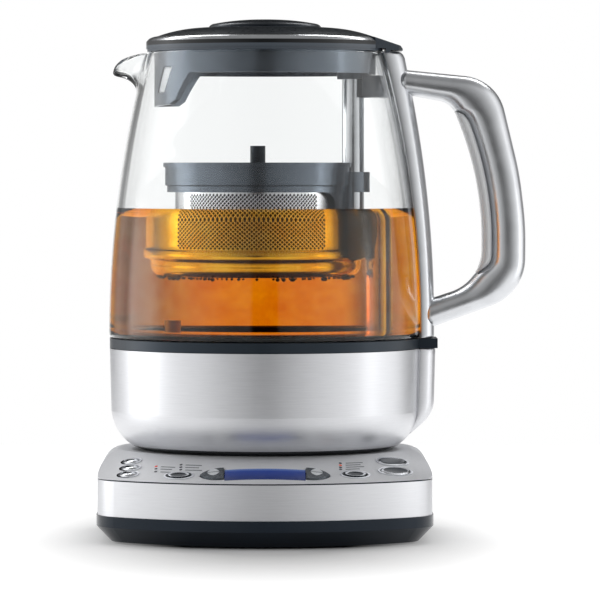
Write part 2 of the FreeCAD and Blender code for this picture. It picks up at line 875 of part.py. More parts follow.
def make_steel_body():
    outer = turned(*body_outline(as_size(0), D.jug_cover_top, D.body_top))
    inner = turned(*body_outline(D.steel_wall, D.jug_cover_top, D.body_top))
    node("jug_steel_shell", cut(outer, inner))
    node("spine_lower_cover", cut(lower_rib(as_size(0)), outer))

    recess = D.connector_radius + D.connector_clearance
    tray = turned(
        (0, D.jug_bottom),
        (D.jug_contact_radius, D.jug_bottom),
        (D.jug_cover_radius, D.jug_cover_top - 0.2),
        (D.jug_cover_radius, D.jug_cover_top),
        (D.jug_cover_radius - 2, D.jug_cover_top),
        (D.jug_cover_radius - 2, D.jug_cover_top + 2),
        (0, D.jug_cover_top + 2),
    )
    hollow = turned(
        (0, D.jug_bottom - 1),
        (D.jug_contact_radius - 5, D.jug_bottom - 1),
        (D.jug_contact_radius - 6, D.jug_bottom + 1),
        (0, D.jug_bottom + 1),
    )
    well = cylinder(recess + 6.5, 20, (0, 0, 40))
    bores = [cylinder(D.screw_radius, 20, (x, y, D.jug_bottom)) for x, y in around(D.jug_screw_circle, 60)]
    node("jug_bottom_cover", cut(tray, hollow, well, *bores))

    frame_top = D.frame_bottom + D.frame_thickness
    cover_roof = D.jug_cover_top + 2
    cup = cylinder(recess + 6.5, frame_top - D.jug_bottom - 1.5, (0, 0, D.jug_bottom + 1.5))
    plate = common(inner, cylinder(80, D.frame_thickness, (0, 0, D.frame_bottom)))
    bosses = [
        cylinder(D.boss_radius, frame_top - cover_roof, (x, y, cover_roof))
        for x, y in around(D.jug_screw_circle, 60)
    ]
    motor_hole = cylinder(D.motor_radius, 30, (D.post_x, 0, 50))
    node(
        "jug_inner_frame",
        cut(fuse(cup, plate, *bosses), cylinder(recess, 13, (0, 0, D.jug_bottom)), motor_hole, *bores),
    )
    node(
        "socket_contacts",
        tube(D.contact_ring_radius + 1.1, D.contact_ring_radius, 0.9, (0, 0, D.jug_bottom + 12.1)),
    )

    band = turned(
        (67, D.seal_band_bottom - 2.5),
        (76.2, D.seal_band_bottom - 2.5),
        (76.2, D.seal_band_bottom),
        (D.seal_band_radius, D.seal_band_bottom),
        (D.seal_band_radius, D.seal_band_top),
        (74.6, D.seal_band_top),
        (74.4, 101.5),
        (D.plate_radius, 101.5),
        (D.plate_radius, D.plate_bottom),
        (67, D.plate_bottom),
    )
    bridge = slab(
        D.spine_half_width + 0.2,
        (76, D.seal_band_bottom),
        (85.9, D.seal_band_bottom),
        (85.9, D.seal_band_top),
        (76, D.seal_band_top),
    )
    node("band_seal", fuse(band, bridge))

    plate = cut(
        cylinder(D.plate_radius, D.plate_top - D.plate_bottom, (0, 0, D.plate_bottom)),
        cylinder(D.post_radius + 1.6, 10, (D.post_x, 0, 92)),
        cylinder(D.probe_radius, 10, (D.probe_x, D.probe_y, 92)),
    )
    node("heater_plate", plate)
    coil = doc.addObject("Part::Torus", "torus")
    bind(coil, "Radius1", D.element_radius)
    bind(coil, "Radius2", D.element_tube)
    put(coil, (0, 0, D.plate_bottom - D.element_tube))
    gap = box((30, -18, 80), (60, 18, 100))
    node("heating_element", cut(coil, gap))
    probe = cylinder(D.probe_radius, 22, (D.probe_x, D.probe_y, 84))
    cutout = fuse(cylinder(9, 6, (-8, -14, 86)), cylinder(2.2, 4.4, (-8, -14, 92)))
    node("heat_sensors", fuse(probe, cutout))


# ---------------------------------------------------------------- jug: lift drive


def make_lift_drive():
    x = D.post_x
    node("lift_motor", cylinder(D.motor_radius, D.gearbox_bottom - D.motor_bottom, (x, 0, D.motor_bottom)))
    gearbox = cut(
        cylinder(13.5, D.gearbox_top - D.gearbox_bottom, (x, 0, D.gearbox_bottom)),
        cylinder(D.screw_rod_radius + D.running_gap, 20, (x, 0, D.gearbox_top - 6)),
    )
    node("lift_gearbox", gearbox)
    post = tube(D.post_radius, D.post_bore, D.post_top - D.gearbox_top, (x, 0, D.gearbox_top))
    node("post_tube", fuse(post, cylinder(D.post_radius, 0.8, (x, 0, D.post_top))))
    node(
        "post_seal",
        fuse(
            tube(D.post_radius + 1.6, D.post_radius, 4, (x, 0, D.plate_bottom - 1)),
            tube(D.post_radius + 3.2, D.post_radius, 1.2, (x, 0, D.plate_top)),
        ),
    )
    socket = cylinder(D.socket_radius, D.socket_top - D.socket_bottom, (x, 0, D.socket_bottom))
    wide = D.bracket_half_width
    panel = cut(
        box((x + 4.2, -wide, D.bracket_panel_bottom), (66, wide, D.bracket_top)),
        cylinder(D.sleeve_radius + 0.8, 20, (x, 0, D.socket_bottom - 20)),
    )
    inside_glass = glass_solid(D.glass_wall + 0.02, 200, D.rim_height)
    holes = [cylinder(D.screw_radius, 20, (x + 9, 0, height), "X") for height in BRACKET_SCREWS]
    space = cylinder(D.post_radius, D.post_top + 0.8 - 200, (x, 0, 200))
    node("post_bracket", cut(common(fuse(socket, panel), inside_glass), space, *holes))

    node("lead_screw", cylinder(D.screw_rod_radius, 136, (x, 0, D.gearbox_top - 5.7)))

    middle = D.sleeve_top - 6
    half = 8
    carriage = cut(
        fuse(
            cylinder(3.4, 2 * half, (x, 0, middle - half)),
            cylinder(D.post_bore - D.running_gap, 2, (x, 0, middle - half)),
            cylinder(D.post_bore - D.running_gap, 2, (x, 0, middle + half - 2)),
        ),
        cylinder(D.screw_rod_radius + D.running_gap, 40, (x, 0, middle - 20)),
    )
    node("magnet_carriage", carriage)
    node("carriage_magnets", tube(4.6, 3.4, 2 * half - 4, (x, 0, middle - half + 2)))


# ---------------------------------------------------------------- jug: spine and handle


def spine_outline():
    """The rail up the side of the jug, wider than the gap that the glass leaves it."""
    return [
        (60, 98.6),
        (84.6, 98.6),
        (84.5, 116),
        (71.0, 232, 594, "left"),
        (69.7, 238, 40, "left"),
        (68.2, D.spine_top),
        (62.8, D.spine_top),
        (50, 230),
    ]


# The bow's outline, (x, height), and the radius of each rounded corner.
HANDLE_OUTER = [(80, 102.35), (130, 120.45), (130.2, 155), (127.2, 180), (115.8, 227.4), (68, 232.2)]
HANDLE_INNER = [(68, 220.05), (93.2, 215.5), (108.3, 176), (108.3, 126.3), (80, 116.9)]
HANDLE_CORNERS = [
    (HANDLE_OUTER[1], 25),
    (HANDLE_OUTER[2], 150),
    (HANDLE_OUTER[3], 150),
    (HANDLE_OUTER[4], 22.5),
    (HANDLE_INNER[1], 11),
    (HANDLE_INNER[2], 156),
    (HANDLE_INNER[3], 22),
]


def crosses_at(corner):
    """A test for the edge that crosses the handle at a corner of its outline."""
    return lambda edge: edge.Length > 10 and all(
        abs(v.Point.x - corner[0]) + abs(v.Point.z - corner[1]) < 0.01 for v in edge.Vertexes
    )


def handle_bow(half_width):
    bow = slab(half_width, *HANDLE_OUTER, *HANDLE_INNER)
    for corner, radius in HANDLE_CORNERS:
        round_edges(bow, radius, crosses_at(corner))
    return bow


def make_handle():
    glass_room = glass_solid(-D.spine_clearance, 90, 250)
    screw_holes = [cylinder(D.screw_radius, 14, (60, 0, height), "X") for height in BRACKET_SCREWS]
    side = D.spine_half_width.value
    rail = cut(
        round_edges(
            slab(D.spine_half_width, *spine_outline()),
            D.spine_edge_radius,
            lambda edge: all(abs(abs(v.Point.y) - side) < 1e-3 and v.Point.x > 68 for v in edge.Vertexes)
            and abs(edge.Vertexes[0].Point.y - edge.Vertexes[-1].Point.y) < 1e-3,
        ),
        glass_room,
        *screw_holes,
    )
    node("spine", rail)

    bow = handle_bow(D.handle_half_width)
    side = D.handle_half_width.value
    round_edges(
        bow,
        D.handle_edge_radius,
        lambda edge: all(abs(abs(v.Point.y) - side) < 1e-3 for v in edge.Vertexes)
        and abs(edge.Vertexes[0].Point.y - edge.Vertexes[-1].Point.y) < 1e-3,
    )
    proud = D.grip_proud
    strip = slab(
        D.grip_half_width,
        (80, 213.2),
        (94.1 + proud, 213.2),
        (99.1 + proud, 201),
        (104.3 + proud, 183),
        (107.3 + proud, 165),
        (108.3 + proud, 150),
        (108.1 + proud, 140),
        (103 + proud, 128),
        (96, 133),
        (80, 133),
    )
    grip = common(handle_bow(D.grip_half_width), strip)
    node("handle_shell", cut(bow, rail, grip, *screw_holes))
    node("handle_grip", grip)
    upper = [cylinder(D.screw_radius, 17.4, (D.post_x + 9.2, 0, height), "X") for height in BRACKET_SCREWS]
    lower = [
        cylinder(D.screw_radius, 14, (x, y, D.jug_bottom + 1.2)) for x, y in around(D.jug_screw_circle, 60)
    ]
    node("jug_screws", fuse(*upper, *lower))


# ---------------------------------------------------------------- brewing basket


def make_basket():
    bx, px = D.basket_x, D.post_x
    ring = put(
        turned(
            (D.collar_ledge_radius, D.collar_bottom),
            (D.collar_radius - 1, D.collar_bottom),
            (D.collar_radius - 1, D.collar_bottom + 3),
            (D.collar_radius, D.collar_bottom + 3.4),
            (D.collar_radius, D.collar_lip_bottom),
            (D.collar_lip_radius, D.collar_lip_bottom),
            (D.collar_lip_radius, D.collar_top),
            (D.collar_inner_radius, D.collar_top),
            (D.collar_inner_radius, D.collar_ledge_top),
            (D.collar_ledge_radius, D.collar_ledge_top),
        ),
        (bx, 0, 0),
    )
    block = cylinder(D.sleeve_radius, D.sleeve_top - D.collar_bottom, (px, 0, D.collar_bottom))
    bore = cylinder(D.sleeve_bore, 80, (px, 0, D.sleeve_bottom - 5))
    pocket_low = D.sleeve_top - D.magnet_height - 1
    pocket = tube(D.magnet_outer, D.magnet_inner, D.magnet_height + 2, (px, 0, pocket_low))
    headroom = cylinder(D.sleeve_radius + 0.01, 10, (px, 0, D.sleeve_top))
    node("basket_collar", cut(fuse(ring, block, half_sleeve()), bore, pocket, headroom))
    node("basket_magnets", tube(D.magnet_outer, D.magnet_inner, D.magnet_height, (px, 0, pocket_low)))

    node("basket_cup", cut(cup_solid(0, D.cup_bottom), cup_solid(D.cup_wall, D.cup_bottom + D.cup_wall)))

    seat = D.collar_ledge_top + D.basket_lid_gap
    disc = cut(
        cylinder(D.collar_inner_radius - D.basket_lid_gap, D.basket_lid_thickness, (bx, 0, seat)),
        cylinder(D.sleeve_radius + 0.6, 10, (px, 0, D.sleeve_bottom + 40)),
    )
    spigot = cut(
        put(turned(
            (D.collar_ledge_radius - 3.2, seat - 2.5),
            (D.collar_ledge_radius - 1.4, seat - 2.5),
            (D.collar_ledge_radius - 1.4, seat),
            (D.collar_ledge_radius - 3.2, seat),
        ), (bx, 0, 0)),
        cylinder(D.sleeve_radius + 2.6, 20, (px, 0, D.sleeve_bottom + 38)),
    )
    node("basket_lid", fuse(disc, spigot))
    lid_top = seat + D.basket_lid_thickness
    node("basket_knob", cylinder(D.knob_radius, D.knob_top - lid_top, (bx, 0, lid_top)))


def half_sleeve():
    """The guide below the collar: a saddle round the cup, run into half a sleeve on the post."""
    side_view = slab(
        32,
        (27, D.collar_bottom + 1),
        (31.6, 170.1),
        (33.9, 168.2),
        (34.5, 165),
        (34.5, 137.5),
        (36, D.sleeve_bottom),
        (39.5, 137.5),
        (42, 141.5),
        (D.post_x + 0.2, 148.5),
        (D.post_x + 0.2, D.collar_bottom + 1),
    )
    tall = D.collar_bottom + 1 - D.sleeve_bottom
    saddle = tube(D.saddle_outer, D.saddle_inner, tall, (D.basket_x, 0, D.sleeve_bottom))
    sleeve = cylinder(D.sleeve_radius, tall, (D.post_x, 0, D.sleeve_bottom))
    return common(fuse(saddle, sleeve), side_view)


def cup_solid(shrink, bottom):
    """The steel cup filled in: a straight wall, a hem, and a narrower foot."""
    shrink = as_size(shrink)
    side = put(
        turned(
            (0, bottom),
            (D.cup_foot_radius - 3 - shrink, bottom),
            (D.cup_foot_radius - shrink, D.cup_bottom + 3.5),
            (D.cup_foot_radius - shrink, D.cup_step_height),
            (D.cup_hem_radius - shrink, D.cup_step_height + 1.2),
            (D.cup_hem_radius - shrink, D.cup_hem_top),
            (D.cup_radius - shrink, D.cup_hem_top + 0.8),
            (D.cup_radius - shrink, D.collar_ledge_top),
            (0, D.collar_ledge_top),
        ),
        (D.basket_x, 0, 0),
    )
    return cut(side, cylinder(D.sleeve_radius + 0.4 + shrink, 120, (D.post_x, 0, 100)))


# ---------------------------------------------------------------- jug lid


def pour_windows():
    """The two slanting windows in the skirt that the tea runs through, as blocks of space."""
    inner, outer = (16.8, 25.6), (25.1, 32.5)
    return [
        crosswise(
            -60,
            22,
            (side * inner[0], D.window_bottom),
            (side * inner[1], D.window_bottom),
            (side * outer[1], D.window_top),
            (side * outer[0], D.window_top),
        )
        for side in (-1, 1)
    ]


def make_lid():
    low = D.lid_ring_top
    dome = turned(
        (0, low),
        (D.lid_radius, low),
        (D.lid_radius, low + 0.4),
        (D.lid_dome_flat_radius, D.lid_dome_top, D.lid_dome_fall_radius, "left"),
        (0, D.lid_dome_top),
    )
    side_view = slab(
        D.tail_root_half_width,
        (46, low - 0.4),
        (46, 249.2),
        (53.8, 248.0),
        (67.4, 243.8),
        (D.tail_length, 242.2),
        (D.tail_length, 241.5),
        (62.4, 241.5),
        (61.3, 240.2),
        (59.8, 240.2),
        (59.8, D.lid_ring_bottom),
        (53.2, D.lid_ring_bottom),
        (53.2, low - 0.4),
    )
    top_view = upright(
        230,
        260,
        (40, -D.tail_root_half_width),
        (54.5, -D.tail_root_half_width),
        (D.tail_length - 2, -D.tail_half_width),
        (D.tail_length, -D.tail_half_width + 3),
        (D.tail_length, D.tail_half_width - 3),
        (D.tail_length - 2, D.tail_half_width),
        (54.5, D.tail_root_half_width),
        (40, D.tail_root_half_width),
    )
    tail = common(side_view, top_view)
    hollow = tube(50, D.grip_radius + 2, 2.2, (0, 0, low - 0.01))
    grip_seat = cylinder(D.grip_radius - 2, 20, (0, 0, low))
    plate_top = D.skirt_plate_bottom + 3
    bosses = [
        cylinder(D.boss_radius - 0.7, 9, (x, y, plate_top)) for x, y in around(D.lid_screw_circle, 90)
    ]
    screws = [
        cylinder(D.screw_radius, 10, (x, y, D.skirt_plate_bottom)) for x, y in around(D.lid_screw_circle, 90)
    ]
    tail_root = box((40, -D.tail_root_half_width, 240), (70, D.tail_root_half_width, 260))
    rebate = cut(tube(D.lid_radius + 3, D.trim_inner_radius, 4, (0, 0, low)), tail_root)
    node("lid_cover", cut(fuse(cut(fuse(dome, tail), hollow, grip_seat, rebate), *bosses), *screws))
    node("lid_screws", fuse(*screws))
    bead = turned(
        (D.trim_inner_radius, low),
        (D.lid_radius - 0.1, low),
        (D.lid_radius - 3, low + 2.15, 5, "left"),
        (D.trim_inner_radius + 0.2, low + 2.5),
        (D.trim_inner_radius, low + 2.3),
    )
    node("lid_trim_ring", cut(bead, tail_root))
    collar = tube(D.lid_radius, 53, low - D.lid_ring_bottom, (0, 0, D.lid_ring_bottom))
    lip = tube(58.8, 54, D.lid_ring_bottom - D.lid_seal_bottom, (0, 0, D.lid_seal_bottom))
    node("lid_seal", fuse(cut(collar, tail_root), lip))
    node(
        "lid_grip",
        turned(
            (0, plate_top),
            (D.grip_radius - 2, plate_top),
            (D.grip_radius - 2, D.lid_dome_top + 0.1),
            (D.grip_radius, D.lid_dome_top + 0.1),
            (D.grip_radius, D.grip_edge_height),
            (D.grip_radius - 2.2, D.lid_grip_top - 2.15, 3.5, "left"),
            (3, D.lid_grip_top, 120, "left"),
            (0, D.lid_grip_top),
        ),
    )

    inner = D.skirt_radius - D.skirt_wall
    ring = tube(D.skirt_radius, inner, D.lid_seal_bottom - D.skirt_bottom, (0, 0, D.skirt_bottom))
    neck = tube(54, inner, D.lid_ring_bottom - D.lid_seal_bottom, (0, 0, D.lid_seal_bottom))
    tongue = crosswise(
        -60,
        60,
        (-D.drop_top_half_width, D.skirt_bottom),
        (-D.drop_foot_half_width, D.drop_foot),
        (-D.drop_foot_half_width + 4, D.drop_bottom + 0.8),
        (0, D.drop_bottom),
        (D.drop_foot_half_width - 4, D.drop_bottom + 0.8),
        (D.drop_foot_half_width, D.drop_foot),
        (D.drop_top_half_width, D.skirt_bottom),
    )
    drop = common(
        tube(D.skirt_radius, inner, D.skirt_bottom - D.drop_bottom, (0, 0, D.drop_bottom)),
        tongue,
    )
    plate = cylinder(inner, 3, (0, 0, D.skirt_plate_bottom))
    hub = tube(D.grip_radius, D.grip_radius - 2, 5, (0, 0, plate_top))
    node("lid_skirt", cut(fuse(ring, neck, drop, plate, hub), *pour_windows(), *screws))
    mesh = tube(
        D.skirt_radius - 0.7,
        D.skirt_radius - 0.7 - D.mesh_wall,
        D.window_top - D.window_bottom,
        (0, 0, D.window_bottom),
    )
    node("spout_filter", fuse(*[common(mesh, window) for window in pour_windows()]))


# ---------------------------------------------------------------- build, check, write


def check_and_write():
    doc.recompute()
    for thing in doc.Objects:
        if "Invalid" in thing.State or "Error" in thing.State:
            raise RuntimeError(f"{thing.Label} failed: {thing.State}")
    for thing in NODES:
        if thing.Shape.isNull() or not thing.Shape.isValid():
            raise RuntimeError(f"{thing.Label} has no valid shape")
    os.makedirs("parts", exist_ok=True)
    for thing in NODES:
        thing.Shape.exportStep(os.path.join("parts", thing.Label + ".step"))
        print(f"{thing.Label}: {len(thing.Shape.Solids)} solids, {thing.Shape.Volume:.0f} mm3")


make_base_casing()
make_deck()
make_controls()
make_base_inside()
make_glass()
make_steel_body()
make_lift_drive()
make_handle()
make_basket()
make_lid()
check_and_write()
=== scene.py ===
"""Automatic tea maker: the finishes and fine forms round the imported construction."""
import math
import random

import bmesh
import bpy
from mathutils import Matrix, Vector


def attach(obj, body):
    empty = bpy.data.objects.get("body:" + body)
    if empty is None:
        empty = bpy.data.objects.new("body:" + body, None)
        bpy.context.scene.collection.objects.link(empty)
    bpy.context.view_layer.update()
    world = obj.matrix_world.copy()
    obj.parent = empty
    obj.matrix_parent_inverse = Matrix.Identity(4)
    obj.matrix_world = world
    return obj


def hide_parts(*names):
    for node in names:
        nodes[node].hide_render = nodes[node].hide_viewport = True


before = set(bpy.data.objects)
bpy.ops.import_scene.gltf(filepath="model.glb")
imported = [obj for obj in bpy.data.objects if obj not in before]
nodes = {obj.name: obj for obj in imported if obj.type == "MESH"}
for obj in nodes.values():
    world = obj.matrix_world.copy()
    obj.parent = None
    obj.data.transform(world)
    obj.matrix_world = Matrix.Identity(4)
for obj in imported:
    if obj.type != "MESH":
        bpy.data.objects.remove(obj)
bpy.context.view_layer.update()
MM = 0.001


# ------------ studio
# A white sweep, a ring of tall soft lights whose strength changes with the
# bearing, one narrow dark screen in front, and two strip lamps above and behind.


def linear(colour):
    """An sRGB hex colour as the linear values that a shader socket takes."""
    parts = [int(colour[i:i + 2], 16) / 255 for i in (1, 3, 5)]
    return [c / 12.92 if c <= 0.04045 else ((c + 0.055) / 1.055) ** 2.4 for c in parts] + [1.0]


def add(tree, kind, inputs=(), **settings):
    """Add a node with its settings, and give each named input a value or a link."""
    new = tree.nodes.new(kind)
    for name, value in settings.items():
        setattr(new, name, value)
    for name, value in dict(inputs).items():
        if isinstance(value, bpy.types.NodeSocket):
            tree.links.new(value, new.inputs[name])
        else:
            new.inputs[name].default_value = value
    return new


def rescale(tree, value, low, high, least=0.0, most=1.0, **settings):
    """Bring a value from the range low to high into the range least to most."""
    span = {"Value": value, "From Min": low, "From Max": high, "To Min": least, "To Max": most}
    return add(tree, "ShaderNodeMapRange", span, **settings).outputs[0]


def blend(tree, amount, first, second):
    """Mix two colours, which are sockets 6 and 7; an amount of 1 gives the second."""
    mix = add(tree, "ShaderNodeMix", {"Factor": amount, 6: first, 7: second}, data_type="RGBA")
    return mix.outputs[2]


scene = bpy.context.scene
scene.view_settings.view_transform = "Standard"

# Bearing in degrees from the front, positive to the right, and the strength at
# eye level and higher up, where the white wall behind has ended.
SOFT_LIGHTS = [
    (-180, 1.05, 0.01), (-172, 1.05, 0.01), (-165, 1.0, 0.08), (-160, 0.3, 0.1), (-150, 0.3, 0.2),
    (-140, 0.8, 0.7), (-124, 0.9, 0.9), (-116, 2.7, 1.4), (-93, 2.7, 1.4), (-82, 1.4, 1.2),
    (-70, 1.1, 1.0), (-49, 0.9, 0.8), (-26, 0.44, 0.45), (-11, 0.38, 0.4), (-9, 0.012, 0.35),
    (9, 0.012, 0.35), (11, 0.36, 0.4), (18, 0.42, 0.42), (41, 0.74, 0.7), (66, 1.05, 0.95),
    (79, 1.35, 1.2), (82, 3.0, 1.4), (86, 3.0, 1.4), (89, 1.5, 1.2), (118, 1.3, 0.9),
    (128, 0.3, 0.4), (140, 0.15, 0.2), (158, 0.5, 0.1), (167, 0.9, 0.08), (172, 1.05, 0.01),
    (180, 1.05, 0.01),
]
world = bpy.data.worlds.new("white_studio")
scene.world = world
world.use_nodes = True
sky = world.node_tree
sky.nodes.clear()
toward = add(sky, "ShaderNodeTexCoord")
parts = add(sky, "ShaderNodeSeparateXYZ", {"Vector": toward.outputs["Generated"]})
front = add(sky, "ShaderNodeMath", {0: parts.outputs["Y"], 1: -1.0}, operation="MULTIPLY")
bearing = add(sky, "ShaderNodeMath", {0: parts.outputs["X"], 1: front.outputs[0]}, operation="ARCTAN2")
share = rescale(sky, bearing.outputs[0], -math.pi, math.pi)
shades = []
for column in (1, 2):
    ring = add(sky, "ShaderNodeValToRGB", {"Fac": share})
    stops = ring.color_ramp.elements
    while len(stops) > 1:
        stops.remove(stops[0])
    for index, light in enumerate(SOFT_LIGHTS):
        where = (light[0] + 180) / 360
        stop = stops[0] if index == 0 else stops.new(where)
        stop.position = where
        stop.color = (light[column], light[column], light[column], 1)
    shades.append(ring.outputs["Color"])
# Higher up the ring changes to its second strengths, and overhead to one dim even light.
OVERHEAD = 0.3
RING_RISE = (0.05, 0.16)
OVERHEAD_RISE = (0.62, 0.85)
shades.append((OVERHEAD, OVERHEAD, OVERHEAD, 1))
seen = shades[0]
for shade, (low, high) in ((shades[1], RING_RISE), (shades[2], OVERHEAD_RISE)):
    climb = rescale(sky, parts.outputs["Z"], low, high, interpolation_type="SMOOTHSTEP")
    seen = blend(sky, climb, seen, shade)
# The camera itself sees plain white behind the object.
WHITE = (1, 1, 1, 1)
path = add(sky, "ShaderNodeLightPath")
seen = blend(sky, path.outputs["Is Camera Ray"], seen, WHITE)
studio = add(sky, "ShaderNodeBackground", {"Color": seen, "Strength": 1.0})
add(sky, "ShaderNodeOutputWorld", {"Surface": studio.outputs[0]})

# Two strip lamps above and behind, with a gap between them.
STRIP_SIZE = (0.75, 0.26)
STRIP_WATTS = 3.2
STRIP_SIDE, STRIP_BACK, STRIP_HEIGHT = 0.545, 0.79, 1.12
STRIP_LEAN = -41
for side in (-1, 1):
    strip_light = bpy.data.lights.new("strip_light", "AREA")
    strip_light.shape = "RECTANGLE"
    strip_light.size, strip_light.size_y = STRIP_SIZE
    strip_light.energy = STRIP_WATTS
    strip_lamp = bpy.data.objects.new("strip_lamp", strip_light)
    strip_lamp.location = (side * STRIP_SIDE, STRIP_BACK, STRIP_HEIGHT)
    strip_lamp.rotation_euler = (math.radians(STRIP_LEAN), 0, 0)
    scene.collection.objects.link(strip_lamp)

FLOOR_BACK = 0.7
FLOOR_SIDE = 0.4
FLOOR_FRONT = -0.36
floor_mesh = bpy.data.meshes.new("floor")
floor_mesh.from_pydata(
    [(-FLOOR_SIDE, FLOOR_FRONT, 0), (FLOOR_SIDE, FLOOR_FRONT, 0), (FLOOR_SIDE, FLOOR_BACK, 0),
     (-FLOOR_SIDE, FLOOR_BACK, 0)],
    [],
    [(0, 1, 2, 3)],
)
floor = bpy.data.objects.new("floor", floor_mesh)
scene.collection.objects.link(floor)
white_sweep = bpy.data.materials.new("white_paper_sweep")
white_sweep.use_nodes = True
tree = white_sweep.node_tree
tree.nodes.clear()
PAPER = 0.79
paper = add(tree, "ShaderNodeBsdfDiffuse", {"Color": (PAPER, PAPER, PAPER, 1)})
# The paper is lifted to white where it is seen, also in metal and through glass, and less near the object, so
# that its shadow stays; the unlifted pool round the object is also painted shadow, grey even where no light
# is blocked.
path = add(tree, "ShaderNodeLightPath")
spot = add(tree, "ShaderNodeTexCoord")
# The shadow falls forward, so the painted shadow pool that stays dark is narrow from side to side.
PAINTED_SHADOW_SHAPE = (2.4, 1, 1)
LIFT_STARTS, LIFT_FULL, LIFT = 0.125, 0.31, 0.68
shadow_pool = add(tree, "ShaderNodeMapping", {"Vector": spot.outputs["Object"], "Scale": PAINTED_SHADOW_SHAPE})
distance = add(tree, "ShaderNodeVectorMath", {0: shadow_pool.outputs[0]}, operation="LENGTH")
away = rescale(tree, distance.outputs["Value"], LIFT_STARTS, LIFT_FULL, most=LIFT)
sight = path.outputs["Is Camera Ray"]
for ray in ("Is Glossy Ray", "Is Transmission Ray"):
    sight = add(tree, "ShaderNodeMath", {0: sight, 1: path.outputs[ray]}, operation="MAXIMUM").outputs[0]
lift = add(tree, "ShaderNodeMath", {0: sight, 1: away}, operation="MULTIPLY")
glow = add(tree, "ShaderNodeEmission", {"Color": WHITE, "Strength": lift.outputs[0]})
both = add(tree, "ShaderNodeAddShader", {0: paper.outputs[0], 1: glow.outputs[0]})
add(tree, "ShaderNodeOutputMaterial", {"Surface": both.outputs[0]})
floor_mesh.materials.append(white_sweep)

# A long lens a good two metres away, level with the brewing basket's cover.
FRAME_PIXELS = 600
PIXEL_FOCUS = 4400
SIDE_SHIFT_PIXELS = 35
CAMERA_AWAY, CAMERA_HEIGHT = 2.2, 0.182
CAMERA_DIP = 1.69
camera_data = bpy.data.cameras.new("camera")
camera_data.sensor_width = 36
camera_data.lens = PIXEL_FOCUS / FRAME_PIXELS * camera_data.sensor_width
camera_data.shift_x = SIDE_SHIFT_PIXELS / FRAME_PIXELS
camera = bpy.data.objects.new("camera", camera_data)
camera.location = (0.0, -CAMERA_AWAY, CAMERA_HEIGHT)
camera.rotation_euler = (math.radians(90 - CAMERA_DIP), 0, 0)
scene.collection.objects.link(camera)
scene.camera = camera


# ------------ base casing
# The lower cover and the seam frame are ABS, injection moulded with a light
# polish; the cover stands on moulded rubber feet and is held by four screws.


def start_material(name, values):
    """A material with one Principled surface, whose even values sit on its own sockets."""
    material = bpy.data.materials.new(name)
    material.use_nodes = True
    shader = material.node_tree.nodes["Principled BSDF"]
    for socket, value in values.items():
        shader.inputs[socket].default_value = value
    return material, material.node_tree, shader


def grain(tree, size_mm, detail=2.0, stretch=(1, 1, 1)):
    """Noise whose features are about size_mm across, drawn out along an axis where stretch is under 1."""
    spot = add(tree, "ShaderNodeTexCoord")
    drawn = add(tree, "ShaderNodeMapping", {"Vector": spot.outputs["Object"], "Scale": stretch})
    return add(
        tree,
        "ShaderNodeTexNoise",
        {"Vector": drawn.outputs[0], "Scale": 1 / (size_mm * MM), "Detail": detail, "Roughness": 0.6},
    )


# Most of the noise's values lie between these two.
NOISE_LOW, NOISE_HIGH = 0.3, 0.7


def spread(tree, noise, low, high):
    """Noise brought to a range of values, for roughness or colour strength."""
    return rescale(tree, noise.outputs["Fac"], NOISE_LOW, NOISE_HIGH, low, high)


def raise_surface(tree, shader, noise, height_mm, strength=1.0):
    """Raise the skin by up to height_mm where the noise is high."""
    bump = add(
        tree,
        "ShaderNodeBump",
        {"Height": noise.outputs["Fac"], "Distance": height_mm * MM, "Strength": strength},
    )
    tree.links.new(bump.outputs[0], shader.inputs["Normal"])


def two_tone(tree, shader, noise, dark, light):
    """Let the colour drift a little between two shades."""
    shade = blend(tree, spread(tree, noise, 0.0, 1.0), linear(dark), linear(light))
    tree.links.new(shade, shader.inputs["Base Color"])


def uneven(tree, shader, noise, low, high):
    """Let the roughness drift with the noise."""
    tree.links.new(spread(tree, noise, low, high), shader.inputs["Roughness"])


COOL_SHEEN = "#b4c4d6"
DRIFT_MM = 30


def moulded(name, dark, light, roughness, texture_mm=0.4, height_mm=0.004, metallic=0.0, tint=COOL_SHEEN):
    """A moulded or cast surface in two near shades, with a fine skin and an uneven, tinted sheen."""
    values = {"Metallic": metallic} if metallic else {"IOR": 1.5, "Specular Tint": linear(tint)}
    material, tree, shader = start_material(name, values)
    two_tone(tree, shader, grain(tree, DRIFT_MM), dark, light)
    skin = grain(tree, texture_mm, detail=3)
    uneven(tree, shader, skin, roughness * 0.85, roughness * 1.15)
    if height_mm:
        raise_surface(tree, shader, skin, height_mm)
    return material


def dress(material, *labels):
    """Give carried-over CAD nodes one finish."""
    for label in labels:
        mesh = nodes[label].data
        mesh.materials.clear()
        mesh.materials.append(material)


# Near black ABS with a soft gloss: the eye sees light only along its bent edges.
cover_abs = moulded("moulded_charcoal_abs", "#070d14", "#0b131d", 0.2)
dress(cover_abs, "base_bottom_cover", "base_seam_ring")
# Matt black rubber, with no clear highlight.
foot_rubber = moulded("moulded_black_rubber", "#141414", "#191919", 0.7, height_mm=0.02)
dress(foot_rubber, "rubber_feet", "cord_gland")
# Zinc plating, slightly cloudy, as on bought screws.
plated_screw = moulded("zinc_plated_steel", "#a5a7aa", "#b9bbbe", 0.3, metallic=1.0)
dress(plated_screw, "base_screws", "jug_screws", "lid_screws")


# ------------ steel band and top of the base
# Stainless steel sheet, pressed to shape and brushed along its length; the fine
# parallel scratches spread every highlight across the grain.


# Real scratches are about 0.05 mm apart; these are drawn coarser so that they show.
SCRATCH_MM = 0.35


